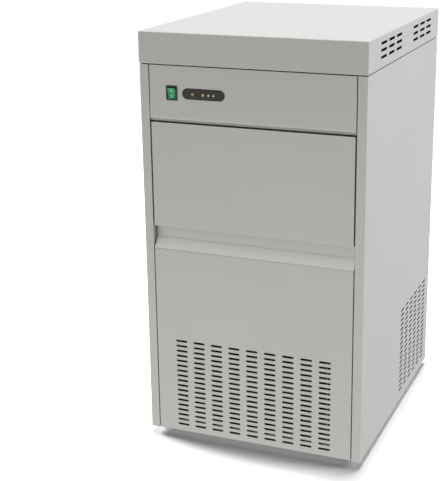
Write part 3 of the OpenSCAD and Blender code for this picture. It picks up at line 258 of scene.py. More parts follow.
def make_finishes(colours):
    """The machine's finishes by material slot."""
    metal = {"Metallic": 1.0}
    satin = (colours.steel, 0.05, (0.46, 0.52))
    finishes = {}

    def lay(slot, *look, **shader):
        finishes[slot] = finish(*look, **shader)

    # Satin stainless sheet, ground with a fine belt: a soft broad sheen with faint level lines.
    # The real scratches are about 0.1 mm wide and are drawn coarser so that they show at all.
    lay("stainless_sheet", "satin_stainless_level_grain", *satin, (90, 90, 0.9), 0.0012, 260,
        **metal)
    lay("stainless_top", "satin_stainless_top_grain", *satin, (90, 0.9, 90), 0.0012, 260, **metal)
    # Hot-dip galvanised sheet: zinc crystals a few millimetres across, each its own grey.
    lay("galvanised_sheet", "galvanised_sheet_spangled", "#B4B8BA", 0.16, (0.34, 0.55), 9, 0.004,
        30, True, **metal)
    # Turned stainless bar: brighter than sheet, with fine rings left by the tool.
    lay("stainless_bar", "turned_stainless", "#C4C4C3", 0.05, (0.22, 0.32), (12, 12, 0.5), 0.002,
        60, **metal)
    # Moulded ABS, white: soft gloss over a slight orange peel.
    lay("white_plastic", "moulded_white_abs", colours.liner, 0.05, (0.30, 0.42), 2.2, 0.012, 180,
        IOR=1.53)
    # Moulded PVC, grey: duller and a little uneven in colour.
    lay("grey_plastic", "moulded_grey_pvc", "#8E9192", 0.10, (0.42, 0.55), 1.4, 0.01, 25, IOR=1.53)
    # Moulded nylon, black: fine spark-eroded texture.
    lay("black_plastic", "moulded_black_nylon", colours.plate, 0.25, (0.30, 0.42), 0.6, 0.01, 12,
        IOR=1.53)
    # Moulded acrylic, green: even gloss with depth in the colour.
    lay("green_plastic", "moulded_green_acrylic", colours.rocker, 0.15, (0.22, 0.30), 1.5, 0.003,
        9, IOR=1.49)
    # Cast epoxy lens, pale amber: glossy and milky.
    lay("amber_lens", "cast_amber_epoxy", colours.lens, 0.25, (0.10, 0.18), 1.2, 0.002, 3, IOR=1.52)
    # Poured polyurethane foam: pale yellow, open cells of about a millimetre.
    lay("foam", "poured_polyurethane_foam", "#DDD2A4", 0.22, (0.85, 0.97), 1.3, 0.25, 35, True,
        IOR=1.45)
    # Expanded nitrile foam: charcoal, closed fine cells.
    lay("dark_foam", "expanded_nitrile_foam", "#2B2B2C", 0.3, (0.78, 0.92), 0.9, 0.12, 20, True,
        IOR=1.48)
    # Moulded rubber, black: matt with a dusty bloom.
    lay("black_rubber", "moulded_black_rubber", "#262627", 0.3, (0.62, 0.8), 0.8, 0.03, 14,
        IOR=1.52)
    # Extruded soft PVC, grey: low sheen with a slight grain.
    lay("grey_rubber", "extruded_grey_gasket", colours.gasket, 0.15, (0.45, 0.6), 1.0, 0.015, 40,
        IOR=1.53)
    # Extruded PVC hose, milky: waxy gloss.
    lay("hose", "extruded_milky_hose", "#C9CCCB", 0.12, (0.28, 0.4), 3, 0.01, 30,
        **{"IOR": 1.52, "Transmission Weight": 0.15})
    # Drawn copper tube: warm, darker in patches, and darkened overall as painted shade so that the
    # coil reads dark behind the vent slots.
    lay("copper", "drawn_copper", "#8A5B43", 0.5, (0.24, 0.42), 3, 0.004, 22, **metal)
    # Rolled aluminium foil and sheet: pale, with fine rolling lines.
    lay("aluminium", "rolled_aluminium", "#D2D4D6", 0.10, (0.3, 0.42), (0.8, 6, 6), 0.004, 40,
        **metal)
    # Stoved enamel, black: deep gloss with orange peel.
    lay("black_enamel", "stoved_black_enamel", "#161617", 0.2, (0.18, 0.28), 2.5, 0.02, 60,
        **{"IOR": 1.52, "Coat Weight": 0.5, "Coat Roughness": 0.1})
    # Sand-cast aluminium alloy: grey and grainy.
    lay("cast_alloy", "sand_cast_alloy", "#A9ABAB", 0.2, (0.45, 0.62), 1.1, 0.09, 25, True, **metal)
    # Screen-printed ink, dull yellow: thin, faded by wiping.
    lay("yellow_ink", "printed_yellow_ink", "#6F6A45", 0.2, (0.5, 0.62), 0.4, 0.003, 4, IOR=1.5)
    # Screen-printed ink, white: thin and slightly chalky.
    lay("white_ink", "printed_white_ink", "#D9D8D2", 0.12, (0.5, 0.62), 0.4, 0.003, 4, IOR=1.5)
    return finishes


FINISHES = {}


# Mesh work


def loop_slot(centre, along, up, run, height, steps=6):
    """The outline of a slot with round ends."""
    r = height / 2
    half = run / 2 - r
    points = []
    for side in (1, -1):
        for k in range(steps + 1):
            a = math.pi * (k / steps - 0.5)
            way = along * (half + r * math.cos(a)) + up * (r * math.sin(a))
            points.append(centre + side * way)
    return points


def loop_round(centre, along, up, r, steps=24):
    """The outline of a round hole."""
    turns = [2 * math.pi * k / steps for k in range(steps)]
    return [centre + along * (r * math.cos(a)) + up * (r * math.sin(a)) for a in turns]


def slot_field(first, along, columns, rows, pitch, step, run, height):
    """Upright columns of slots from the first slot's middle."""
    return [
        loop_slot(first + along * (pitch * i) + Z * (step * j), along, Z, run, height)
        for i in range(columns)
        for j in range(rows)
    ]


def vent_field(vents, first, along, columns, rows):
    """A field of the cabinet's vent slots, which are alike on all sides."""
    return slot_field(
        first, along, columns, rows, vents.column_pitch / MM, vents.row_pitch / MM,
        vents.slot_length / MM, vents.slot_height / MM
    )


def punch(face, corner, corners, holes, margin=4.0):
    """A rectangle with holes: a plain border, and inside it triangles that leave the holes open."""
    start, end, up_end = corners[0], corners[1], corners[3]
    along, up = (end - start).normalized(), (up_end - start).normalized()
    wide, high = (end - start).length, (up_end - start).length
    right, top = wide - margin, high - margin
    inner = [(margin, margin), (right, margin), (right, top), (margin, top)]
    ring = [start + along * a + up * b for a, b in inner]
    for i in range(4):
        j = (i + 1) % 4
        face([corner(p) for p in (corners[i], corners[j], ring[j], ring[i])])
    flat = [Vector(p) for p in inner]
    loops = [[0, 1, 2, 3]]
    for hole in holes:
        first = len(flat)
        flat += [Vector(((p - start).dot(along), (p - start).dot(up))) for p in hole]
        loops.append(list(range(first, len(flat))))
    points, _, triangles, *_ = delaunay_2d_cdt(flat, [], loops, 2, 1e-5)
    placed = [corner(start + along * p.x + up * p.y) for p in points]
    for triangle in triangles:
        face([placed[i] for i in triangle])


def as_object(name, bm):
    mesh = bpy.data.meshes.new(name)
    bm.to_mesh(mesh)
    bm.free()
    piece = bpy.data.objects.new(name, mesh)
    bpy.context.scene.collection.objects.link(piece)
    return piece


def settle(piece):
    """Applies the modifiers, shades curves smooth, keeps edges sharp and flat faces flat."""
    graph = bpy.context.evaluated_depsgraph_get()
    mesh = bpy.data.meshes.new_from_object(piece.evaluated_get(graph))
    piece.modifiers.clear()
    piece.data = mesh
    mesh.shade_smooth()
    mesh.set_sharp_from_angle(angle=SHARP_ANGLE)
    level = piece.modifiers.new("flat_faces", "WEIGHTED_NORMAL")
    level.keep_sharp = True
    level.weight = FLAT_WEIGHT
    return piece


def folded_sheet(name, faces, fold, thickness):
    """Flat faces folded along the edges that they share, with round folds, as thick as sheet."""
    bm = bmesh.new()
    seen = {}

    def corner(p):
        key = tuple(round(c, 3) for c in p)
        if key not in seen:
            seen[key] = bm.verts.new(cab(p))
        return seen[key]

    for corners, holes in faces:
        if holes:
            punch(bm.faces.new, corner, corners, holes)
        else:
            bm.faces.new([corner(p) for p in corners])
    bm.normal_update()
    shared = [e for e in bm.edges if len(e.link_faces) == 2]
    folds = [e for e in shared if e.calc_face_angle() > FOLD_ANGLE]
    if folds:
        bmesh.ops.bevel(
            bm, geom=folds, offset=fold, offset_type="OFFSET", segments=4, profile=0.5,
            affect="EDGES", clamp_overlap=True
        )
    piece = as_object(name, bm)
    wall = piece.modifiers.new("sheet", "SOLIDIFY")
    wall.thickness = thickness
    wall.offset = -1
    wall.use_even_offset = True
    return settle(piece)


def face(*points, holes=()):
    return [Vector(p) for p in points], list(holes)


def strip(w, start, end, holes=()):
    """A face across the machine between two edges, each given by its depth and height."""
    return face((-w, *start), (w, *start), (w, *end), (-w, *end), holes=holes)


def mirrored(faces):
    """The same faces on the other side of the middle."""
    def flip(points):
        return [Vector((-p.x, p.y, p.z)) for p in reversed(points)]

    return [(flip(corners), [flip(hole) for hole in holes]) for corners, holes in faces]


def polar(radii):
    """Flat points on evenly spaced rays, one for each radius."""
    turns = [math.tau * k / len(radii) for k in range(len(radii))]
    return [(r * math.cos(a), r * math.sin(a)) for r, a in zip(radii, turns)]


def circle(r, steps=36):
    """A round outline as flat points."""
    return polar([r] * steps)


def hexagon(flats, steps=36):
    """A six-sided outline with as many points as a circle."""
    turns = [math.tau * k / steps for k in range(steps)]
    return polar([flats / 2 / math.cos(a % (math.pi / 3) - math.pi / 6) for a in turns])


def ribbed(r, rib, steps=36):
    """A round outline with small ribs to grip."""
    return polar([r - rib * (k % 2) for k in range(steps)])


def rectangle(wide, high, r, steps=5):
    """A rectangle with round corners as flat points."""
    points = []
    for i, (right, up) in enumerate(((1, 1), (-1, 1), (-1, -1), (1, -1))):
        for k in range(steps + 1):
            a = math.pi / 2 * (i + k / steps)
            x, y = right * (wide / 2 - r), up * (high / 2 - r)
            points.append((x + r * math.cos(a), y + r * math.sin(a)))
    return points


def turned(section, steps=36):
    """Round outlines from pairs of radius and height."""
    return [(circle(r, steps), h) for r, h in section]


def screw_thread(r, depth, pitch, low, high, steps=36):
    """Levels of a screw thread: the radius swings once every pitch and climbs with the turn."""
    rows_a_turn = 8
    rows = round((high - low) / pitch * rows_a_turn)
    levels = []
    for i in range(rows + 1):
        h = low + (high - low) * i / rows
        swings = [abs(2 * ((h / pitch - k / steps) % 1.0) - 1) for k in range(steps)]
        levels.append((polar([r - depth * swing for swing in swings]), h))
    return levels


def skin(bm, levels, place, ring=False, lid=True):
    """Joins outlines, each at its local height, and returns the last one's corners.

    A run is capped below, and above where it has a lid; a ring closes on itself.
    """
    loops = [[bm.verts.new(place @ Vector((*p, h))) for p in outline] for outline, h in levels]
    joins = list(zip(loops, loops[1:]))
    if ring:
        joins.append((loops[-1], loops[0]))
    else:
        bm.faces.new(list(reversed(loops[0])))
    for below, above in joins:
        for k in range(len(below)):
            m = (k + 1) % len(below)
            bm.faces.new((below[k], below[m], above[m], above[k]))
    if lid and not ring:
        bm.faces.new(loops[-1])
    return loops[-1]


def solid(name, bm):
    """A closed piece with its faces turned outwards."""
    bmesh.ops.recalc_face_normals(bm, faces=bm.faces)
    return settle(as_object(name, bm))


def local(origin, turn=Matrix.Identity(4)):
    """A matrix from local millimetres at a cabinet point to the shared frame."""
    return Matrix.Translation(cab(origin)) @ turn @ Matrix.Scale(MM, 4)


TO_FRONT = Matrix.Rotation(math.radians(90), 4, "X")
TO_BACK = Matrix.Rotation(math.radians(-90), 4, "X")
# Local x to the back, local y up, local height to the right
TO_RIGHT = Matrix(((0, 0, 1, 0), (1, 0, 0, 0), (0, 1, 0, 0), (0, 0, 0, 1)))


def fit(piece, body, slot, *nodes, finish_name=None):
    """Gives the piece its finish and its body, and hides the nodes that it stands for."""
    if not piece.data.materials:
        piece.data.materials.append(FINISHES[finish_name or slot])
    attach(piece, body)
    if nodes:
        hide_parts(*nodes)
    return piece


def fit_run(name, levels, place, body, slot, node, ring=False):
    """Fits a piece made of one run of outlines in place of its node."""
    bm = bmesh.new()
    skin(bm, levels, place, ring)
    return fit(solid(name, bm), body, slot, node)


def fit_sheet(name, faces, sheet, body, node):
    """Folds a stainless panel and fits it in place of its node."""
    panel = folded_sheet(name, faces, sheet.fold, sheet.thickness)
    return fit(panel, body, "stainless_sheet", node)


def make_floor():
    bm = bmesh.new()
    bmesh.ops.create_grid(bm, x_segments=2, y_segments=2, size=FLOOR_SIZE / 2)
    floor = as_object("floor", bm)
    # Painted studio floor: matt, nearly white.
    floor.data.materials.append(
        finish("painted_white_floor", "#F4F5F6", 0.01, (0.8, 0.9), 30, 0.0, 900)
    )
    floor.visible_glossy = False


def make_room(scene, studio):
    """The room that the steel mirrors; the lamps light the floor and the dull pieces"""
    world = bpy.data.worlds.new("studio")
    scene.world = world
    world.use_nodes = True
    world.cycles_visibility.diffuse = False
    tree = world.node_tree
    tree.nodes.clear()
    way = add(tree, "ShaderNodeTexCoord").outputs["Generated"]
    _, depth, height = add(tree, "ShaderNodeSeparateXYZ", None, {0: way}).outputs

    def ramp(source, start, end, low=0.0, high=1.0, kind="SMOOTHSTEP"):
        settings = {"From Min": start, "From Max": end, "To Min": low, "To Max": high}
        settings["interpolation_type"] = kind
        return add(tree, "ShaderNodeMapRange", settings, {"Value": source}).outputs[0]

    # How far a direction points to the room behind the machine, 0 to 1
    behind = ramp(depth, -0.3, 0.6)
    # The room in front: bright floor some way off, dim at eye level and at the machine's foot
    far_floor = ramp(height, 0.1, -0.5, high=studio.floor_glow)
    near_floor = ramp(height, -0.92, -0.62)
    lit_floor = add(
        tree, "ShaderNodeMath", {"operation": "MULTIPLY"}, {0: far_floor, 1: near_floor}
    )
    below = add(tree, "ShaderNodeMath", {0: studio.front_glow}, {1: lit_floor.outputs[0]})
    above = ramp(height, 0.05, 0.5, high=studio.top_glow)
    before = add(tree, "ShaderNodeMath", None, {0: below.outputs[0], 1: above})
    # The room behind brightens evenly from floor to ceiling
    after = ramp(height, -1, 1, 0.55 * studio.back_glow, 1.55 * studio.back_glow, "LINEAR")
    a, b = MIX_VALUES
    glow = add(tree, "ShaderNodeMix", None, {MIX_SHARE: behind, a: before.outputs[0], b: after})
    tint = blend(tree, behind, linear(WARM_WHITE), linear(NEUTRAL_WHITE))
    sky = add(tree, "ShaderNodeBackground", None, {"Color": tint, "Strength": glow.outputs[0]})
    add(tree, "ShaderNodeOutputWorld", None, {"Surface": sky.outputs[0]})


def hang_lamps(scene, studio):
    def hang(light, at, target):
        lamp = bpy.data.objects.new(light.name, light)
        lamp.location = at
        aim = Vector(target) - Vector(at)
        lamp.rotation_euler = aim.to_track_quat("-Z", "Y").to_euler()
        lamp.visible_glossy = False
        scene.collection.objects.link(lamp)

    ceiling = bpy.data.lights.new("ceiling_light", "SUN")
    ceiling.energy = studio.ceiling_light
    ceiling.angle = studio.ceiling_spread
    hang(ceiling, (-0.02, 0.25, 4.0), (0, 0, 0))
    # Each softbox's power, width, place and target, in metres
    softboxes = {
        "front": (studio.front_light, 1.6, (-0.8, -3.2, 0.75), (0, 0, 0.6)),
        "left": (studio.left_light, 0.8, (-2.6, 0.4, 1.3), (0, -0.3, 0)),
        "right": (studio.right_light, 0.8, (2.6, 0.4, 1.3), (0, -0.3, 0)),
    }
    for side, (watts, width, at, target) in softboxes.items():
        softbox = bpy.data.lights.new(side + "_softbox", "AREA")
        softbox.energy = watts
        softbox.shape = "SQUARE"
        softbox.size = width
        hang(softbox, at, target)


def set_camera(scene, studio):
    eye = bpy.data.cameras.new("camera")
    eye.sensor_width = SENSOR_MM
    eye.lens = studio.focal_px * SENSOR_MM / LONG_SIDE_PX
    eye.shift_x, eye.shift_y = (crop / LONG_SIDE_PX for crop in studio.crop_px)
    eye.clip_end = FAR_CLIP
    camera = bpy.data.objects.new("camera", eye)
    az, el, roll = studio.azimuth, studio.elevation, studio.roll
    level = math.cos(el)
    back = Vector((math.sin(az) * level, -math.cos(az) * level, math.sin(el)))
    across = (-back).cross(Z).normalized()
    up = across.cross(-back)
    right_way = across * math.cos(roll) + up * math.sin(roll)
    up_way = up * math.cos(roll) - across * math.sin(roll)
    turn = Matrix((right_way, up_way, back)).transposed().to_4x4()
    camera.matrix_world = Matrix.Translation(cab(Vector(studio.eye) / MM)) @ turn
    scene.collection.objects.link(camera)
    scene.camera = camera


class ICE_OT_stage(bpy.types.Operator):
    """Floor, soft studio light and camera"""

    bl_idname = "ice_machine.stage"
    bl_label = "Stage"

    def execute(self, context):
        scene, studio = context.scene, context.scene.ice_studio
        scene.view_settings.view_transform = "Standard"
        make_floor()
        make_room(scene, studio)
        hang_lamps(scene, studio)
        set_camera(scene, studio)
        return {"FINISHED"}


class ICE_OT_finishes(bpy.types.Operator):
    """Finishes of all the carried-over solids"""

    bl_idname = "ice_machine.finishes"
    bl_label = "Finishes"

    def execute(self, context):
        FINISHES.update(make_finishes(context.scene.ice_colours))
        for name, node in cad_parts.items():
            slot = node.data.materials[0].name.split(".")[0] if node.data.materials else ""
            if slot not in FINISHES:
                raise RuntimeError(f"no finish for {name}: {slot}")
            node.data.materials.clear()
            node.data.materials.append(FINISHES[slot])
        return {"FINISHED"}


class ICE_OT_cover(bpy.types.Operator):
    """Folded cover with its slots"""

    bl_idname = "ice_machine.cover"
    bl_label = "Cover"

    def execute(self, context):
        sheet, vents = context.scene.ice_sheet, context.scene.ice_vents
        a, b = cab_box("top_cover")
        rim, level_share = 20.0, 0.8
        # Two groups of slots stand on either side of a line a little behind the middle
        set_back, group_shift, slot_rise, columns, rows = 6.0, 133.5, 37.0, 3, 3
        middle = (a.y + b.y) / 2 + set_back
        pitch, step = vents.cover_pitch / MM, vents.cover_rows / MM
        slots = []
        for group in (-1, 1):
            first = Vector((b.x, middle + group * group_shift - pitch, a.z + slot_rise - step))
            slots += slot_field(
                first, Y, columns, rows, pitch, step, vents.cover_length / MM,
                vents.cover_height / MM
            )
        side = face((b.x, a.y, a.z), (b.x, b.y, a.z), (b.x, b.y, b.z), (b.x, a.y, b.z), holes=slots)
        outer = [(a.x, a.y), (b.x, a.y), (b.x, b.y), (a.x, b.y)]
        inward = [(rim, rim), (-rim, rim), (-rim, -rim), (rim, -rim)]
        inner = [(x + right, y + back) for (x, y), (right, back) in zip(outer, inward)]
        faces = [
            face(*[(*p, b.z) for p in outer]),
            strip(b.x, (a.y, a.z), (a.y, b.z)),
            strip(-b.x, (b.y, a.z), (b.y, b.z)),
            side,
        ] + mirrored([side])
        for i in range(4):
            j = (i + 1) % 4
            ring = [outer[j], outer[i], inner[i], inner[j]]
            faces.append(face(*[(*p, a.z) for p in ring]))
        cover = folded_sheet("cover_shell", faces, sheet.cover_fold, sheet.thickness)
        cover.data.materials.append(FINISHES["stainless_sheet"])
        cover.data.materials.append(FINISHES["stainless_top"])
        for polygon in cover.data.polygons:
            polygon.material_index = 1 if abs(polygon.normal.z) > level_share else 0
        fit(cover, "cabinet", "stainless_sheet", "top_cover")
        return {"FINISHED"}


def control_panel(sheet, rim):
    low, high = cab_box("control_panel")
    w, top, flange = high.x, high.z, high.y
    bevel_depth = sheet.bevel_depth / MM
    edge = low.z + sheet.bevel_drop / MM
    # The cut-outs are smaller than the pieces, which cover their edges
    window_edge, slot_edge = 1.6, 4.0
    a, b = cab_box("switch_body")
    left, right = a.x + window_edge, b.x - window_edge
    bottom, head = a.z + window_edge, b.z - window_edge
    window = [(left, bottom), (right, bottom), (right, head), (left, head)]
    window = [Vector((x, 0, z)) for x, z in window]
    a, b = cab_box("indicator_plate")
    slot = loop_slot(middle_of(a, b, 0), X, Z, b.x - a.x - 2 * slot_edge, b.z - a.z - 2 * slot_edge)
    side = face((w, 0, edge), (w, rim, edge), (w, rim, top), (w, 0, top))
    faces = [
        strip(w, (0, edge), (0, top), holes=[window, slot]),
        face(
            (-w, 0, top), (w, 0, top), (w, rim, top), (w, flange, top), (-w, flange, top),
            (-w, rim, top)
        ),
        strip(w, (bevel_depth, low.z), (0, edge)),
        strip(w, (flange, low.z), (bevel_depth, low.z)),
        side,
    ] + mirrored([side])
    fit_sheet("control_fascia", faces, sheet, "cabinet", "control_panel")


def lower_panel(sheet, vents, rim):
    high = cab_box("lower_front_panel")[1]
    w, lip = high.x, high.y
    flange, first_row, door_gap = 18.0, 17.5, 1.0
    edge, slope = high.z - sheet.shelf_rise / MM, sheet.shelf_depth / MM
    # The recess's back rises from the slope to just under the door
    under_door = cab_box("door_skin")[0].z - door_gap
    pitch = vents.column_pitch / MM
    first = Vector((-(vents.front_columns - 1) * pitch / 2, 0, first_row))
    slots = vent_field(vents, first, X, vents.front_columns, vents.rows)
    side = face((w, 0, 0), (w, rim, 0), (w, rim, edge), (w, 0, edge))
    faces = [
        strip(w, (0, 0), (0, edge), holes=slots),
        strip(w, (0, edge), (slope, high.z)),
        strip(w, (slope, high.z), (slope, under_door)),
        strip(w, (slope, under_door), (lip, under_door)),
        face((-w, rim, 0), (-w, flange, 0), (w, flange, 0), (w, rim, 0), (w, 0, 0), (-w, 0, 0)),
        side,
    ] + mirrored([side])
    fit_sheet("grille_panel", faces, sheet, "cabinet", "lower_front_panel")


class ICE_OT_front_panels(bpy.types.Operator):
    """Control panel, and slotted lower panel with the finger recess over it"""

    bl_idname = "ice_machine.front_panels"
    bl_label = "Front panels"

    def execute(self, context):
        sheet, vents = context.scene.ice_sheet, context.scene.ice_vents
        rim = sheet.rim / MM
        control_panel(sheet, rim)
        lower_panel(sheet, vents, rim)
        return {"FINISHED"}


def door_lining():
    """Moulded lining with a round rim and a sunk field"""
    low, high = cab_box("door_inner_panel")
    wide, tall, deep = high.x - low.x, high.z - low.z, high.y - low.y
    corner = 8
    # Distance in from the edge and height above the door, round the moulding
    section = [
        (0, 0), (0, deep - 0.8), (0.25, deep - 0.3), (0.8, deep), (26, deep),
        (27.5, deep - 0.3), (29.5, deep - 1.1), (31, deep - 1.4)
    ]
    levels = [(rectangle(wide - 2 * i, tall - 2 * i, corner), h) for i, h in section]
    place = local(middle_of(low, high, low.y), TO_BACK)
    fit_run("door_lining", levels, place, "door", "white_plastic", "door_inner_panel")


def door_gasket():
    """Soft bulb on a flat foot, run round the door"""
    low, high = cab_box("door_gasket")
    wide, tall, deep = high.x - low.x, high.z - low.z, high.y - low.y
    foot, corner = 10.0, 12
    # Distance in from the outer edge and height above the door, round the bulb
    section = [
        (0, 0), (0, 0.9), (0.9, 1.3), (1.4, 2.3), (2.6, 3.3), (4.2, deep), (5.8, deep),
        (7.4, 3.3), (8.6, 2.3), (9.1, 1.3), (foot, 0.9), (foot, 0)
    ]
    levels = [(rectangle(wide - 2 * i, tall - 2 * i, corner - i), h) for i, h in section]
    place = local(middle_of(low, high, low.y), TO_BACK)
    fit_run("gasket_bulb", levels, place, "door", "grey_rubber", "door_gasket", ring=True)


class ICE_OT_door(bpy.types.Operator):
    """Bin door: folded skin, moulded lining and soft gasket"""

    bl_idname = "ice_machine.door"
    bl_label = "Door"

    def execute(self, context):
        sheet = context.scene.ice_sheet
        low, high = cab_box("door_skin")
        # The top fold stands a little proud of the flat blank, which narrows the gap over the door
        high.z += sheet.door_crown / MM
        w, back = high.x, high.y
        undercut, flange, shoulder = sheet.undercut / MM, 12.0, 15.0
        section = [
            (low.y, low.z), (back, low.z + undercut), (back, high.z - shoulder), (flange, high.z),
            (low.y, high.z)
        ]
        bottom, heel, neck, crest, top = section
        end = face(*[(w, *p) for p in section])
        faces = [
            end,
            strip(w, bottom, top),
            strip(w, top, crest),
            strip(w, crest, neck),
            strip(w, heel, bottom),
        ] + mirrored([end])
        fit_sheet("door_face", faces, sheet, "door", "door_skin")
        door_lining()
        door_gasket()
        return {"FINISHED"}


class ICE_OT_side_panels(bpy.types.Operator):
    """Side panels with their posts and slots"""

    bl_idname = "ice_machine.side_panels"
    bl_label = "Side panels"

    def execute(self, context):
        sheet, vents = context.scene.ice_sheet, context.scene.ice_vents
        low, high = cab_box("right_side_panel")
        post_x, x, y, top = low.x, high.x, high.y, high.z
        back_in, flange = 14.0, 18.0
        last_column, first_row = 49.0, 26.0
        pitch = vents.column_pitch / MM
        first = Vector((x, y - last_column - (vents.side_columns - 1) * pitch, first_row))
        slots = vent_field(vents, first, Y, vents.side_columns, vents.rows)
        faces = [
            face((post_x, back_in, 0), (post_x, 0, 0), (post_x, 0, top), (post_x, back_in, top)),
            face((post_x, 0, 0), (x, 0, 0), (x, 0, top), (post_x, 0, top)),
            face((x, 0, 0), (x, y, 0), (x, y, top), (x, 0, top), holes=slots),
            face((x, y, 0), (x - flange, y, 0), (x - flange, y, top), (x, y, top)),
        ]
        # Ledges at the top and the bottom, between the post and the rear flange
        inset, ledge, post_gap, flange_gap = 0.5, 18.0, 4, 2
        start, end = back_in + post_gap, y - flange - flange_gap
        for y0, y1, z in ((start, end, top), (end, start, 0)):
            faces.append(
                face((x - ledge, y0, z), (x - inset, y0, z), (x - inset, y1, z), (x - ledge, y1, z))
            )
        fit_sheet("right_side_skin", faces, sheet, "cabinet", "right_side_panel")
        fit_sheet("left_side_skin", mirrored(faces), sheet, "cabinet", "left_side_panel")
        return {"FINISHED"}


def panel_screws(y):
    """Pan heads with a cross recess"""
    low, high = cab_box("panel_screws")
    head, rows, shank, length_in = 3.8, 5, 2.0, 8.0
    crown, rise, sink, arm, half = 2.3, 2.2, 1.1, 1.7, 0.42
    section = [
        (shank, -length_in), (shank, 0), (head, 0), (head, 0.5), (3.5, 1.3), (3.0, 1.8),
        (crown, rise)
    ]
    cross, quarter = [], [(half, half), (half, arm), (-half, arm)]
    for _ in range(4):
        cross += quarter
        quarter = [(-v, u) for u, v in quarter]
    bm = bmesh.new()
    for x in (low.x + head, high.x - head):
        for i in range(rows):
            z = low.z + head + (high.z - low.z - 2 * head) * i / (rows - 1)
            screw_head(bm, local((x, y, z), TO_BACK), turned(section, 24), cross, rise, sink)
    fit(solid("screw_heads", bm), "cabinet", "stainless_bar", "panel_screws")


def screw_head(bm, place, levels, cross, rise, sink):
    """One screw, with the cross sunk into its crown"""
    crown = skin(bm, levels, place, lid=False)
    flat = [Vector(p) for p in levels[-1][0]] + [Vector(p) for p in cross]
    around, within = range(len(crown)), range(len(crown), len(flat))
    _, _, triangles, *_ = delaunay_2d_cdt(flat, [], [list(around), list(within)], 2, 1e-6)
    rim = [bm.verts.new(place @ Vector((*p, rise))) for p in cross]
    well = [bm.verts.new(place @ Vector((*p, rise - sink))) for p in cross]
    both = crown + rim
    for triangle in triangles:
        bm.faces.new([both[i] for i in triangle])
    for k in range(len(cross)):
        m = (k + 1) % len(cross)
        bm.faces.new((rim[k], rim[m], well[m], well[k]))
    bm.faces.new(well)


class ICE_OT_rear_panel(bpy.types.Operator):
    """Rear panel and its screws"""

    bl_idname = "ice_machine.rear_panel"
    bl_label = "Rear panel"

    def execute(self, context):
        sheet, vents = context.scene.ice_sheet, context.scene.ice_vents
        high = cab_box("rear_panel")[1]
        x, y, top = high.x, high.y, high.z
        flange, inset, shy, first_row = 18.0, 19.0, 0.6, 110.0
        pitch = vents.column_pitch / MM
        first = Vector(((vents.rear_columns - 1) * pitch / 2, y, first_row))
        holes = vent_field(vents, first, -X, vents.rear_columns, vents.rear_rows)
        for node, r in (("drain_outlet", 10.2), ("cable_gland", 8.2), ("water_valve", 13.5)):
            a, b = cab_box(node)
            middle = middle_of(a, b, y)
            if node == "water_valve":
                middle.z = a.z + VALVE_RISE
            holes.append(loop_round(middle, -X, Z, r))
        faces = [
            strip(-x, (y, 0), (y, top), holes=holes),
            strip(x - inset, (y - flange, top), (y - shy, top)),
        ]
        fit_sheet("rear_skin", faces, sheet, "cabinet", "rear_panel")
        panel_screws(y)
        return {"FINISHED"}


def power_switch():
    low, high = cab_box("switch_body")
    wide, tall, lip, depth = high.x - low.x, high.z - low.z, -low.y, high.y
    middle = middle_of(low, high, 0)
    body, window, pocket = (21.4, 27.9), (18.0, 26.0), 13.0

    def window_ring(wider, corner):
        return rectangle(window[0] + wider, window[1] + wider, corner)

    levels = [
        (rectangle(*body, 1.0), -depth), (rectangle(*body, 1.0), 0),
        (rectangle(wide, tall, 2.0), 0), (rectangle(wide, tall, 2.0), lip - 0.8),
        (rectangle(wide - 0.5, tall - 0.5, 1.8), lip - 0.25),
        (rectangle(wide - 1.6, tall - 1.6, 1.5), lip), (window_ring(1.2, 1.0), lip),
        (window_ring(0.3, 0.8), lip - 0.3), (window_ring(0, 0.7), lip - 0.9),
        (window_ring(0, 0.7), -pocket),
    ]
    place = local(middle, TO_FRONT)
    fit_run("switch_bezel", levels, place, "cabinet", "black_plastic", "switch_body")

    pivot_depth, rest = 3.0, math.radians(8)
    turn = Matrix.Rotation(rest, 4, "X")
    pivot = middle + Vector((0, pivot_depth, 0))
    rocker_paddle(local(pivot, turn @ TO_RIGHT))
    rocker_marks(pivot, turn)


def rocker_paddle(place):
    """The paddle with soft ends and its two pins"""
    half, soft, pin, pin_start, pin_end = 8.6, 0.7, 1.5, 8.4, 9.7
    ends = [(soft, 0), (0.2, 0.2), (0, soft)]
    levels = [(rocker_section(inset), -half + h) for inset, h in ends]
    levels += [(rocker_section(inset), half - h) for inset, h in reversed(ends)]
    bm = bmesh.new()
    skin(bm, levels, place)
    for side in (-1, 1):
        skin(bm, turned([(pin, side * pin_start), (pin, side * pin_end)], 16), place)
    fit(solid("rocker_paddle", bm), "rocker", "green_plastic", "rocker")


def rocker_marks(pivot, turn):
    """A stroke on the upper half of the rocker and a ring on the lower half"""
    ink, under, up = 0.15, -0.1, 6.3
    lead, slope = rocker_face(up)
    stroke = rectangle(1.1, 4.6, 0.2)
    bm = bmesh.new()
    for side in (1, -1):
        tip = Matrix.Rotation(side * slope, 4, "X")
        spot = pivot + turn @ Vector((0, lead, side * up))
        place = local(spot, turn @ tip @ TO_FRONT)
        if side > 0:
            skin(bm, [(stroke, under), (stroke, ink)], place)
        else:
            ring = [(2.4, under), (2.4, ink), (1.5, ink), (1.5, under)]
            skin(bm, turned(ring), place, ring=True)
    fit(solid("rocker_marks", bm), "rocker", None, finish_name="white_ink")


def rocker_face(z):
    """Depth and slope of the rocker's face at a height from its pivot"""
    reach, sag, lead = 12.0, 1.8, 4.2
    return -(lead + sag * (z / reach) ** 2), math.atan(2 * sag * abs(z) / reach**2)


def rocker_section(inset):
    """Section of the rocker: a dished face in front and a keel behind"""
    top, steps = 12.0 - inset, 14
    shoulder, keel, keel_half = 12.2 - inset, 7.0 - inset, 4.8
    front = []
    for k in range(steps + 1):
        z = top * (2 * k / steps - 1)
        front.append((rocker_face(z)[0] + inset, z))
    return front + [(2.0, shoulder), (keel, keel_half), (keel, -keel_half), (2.0, -shoulder)]


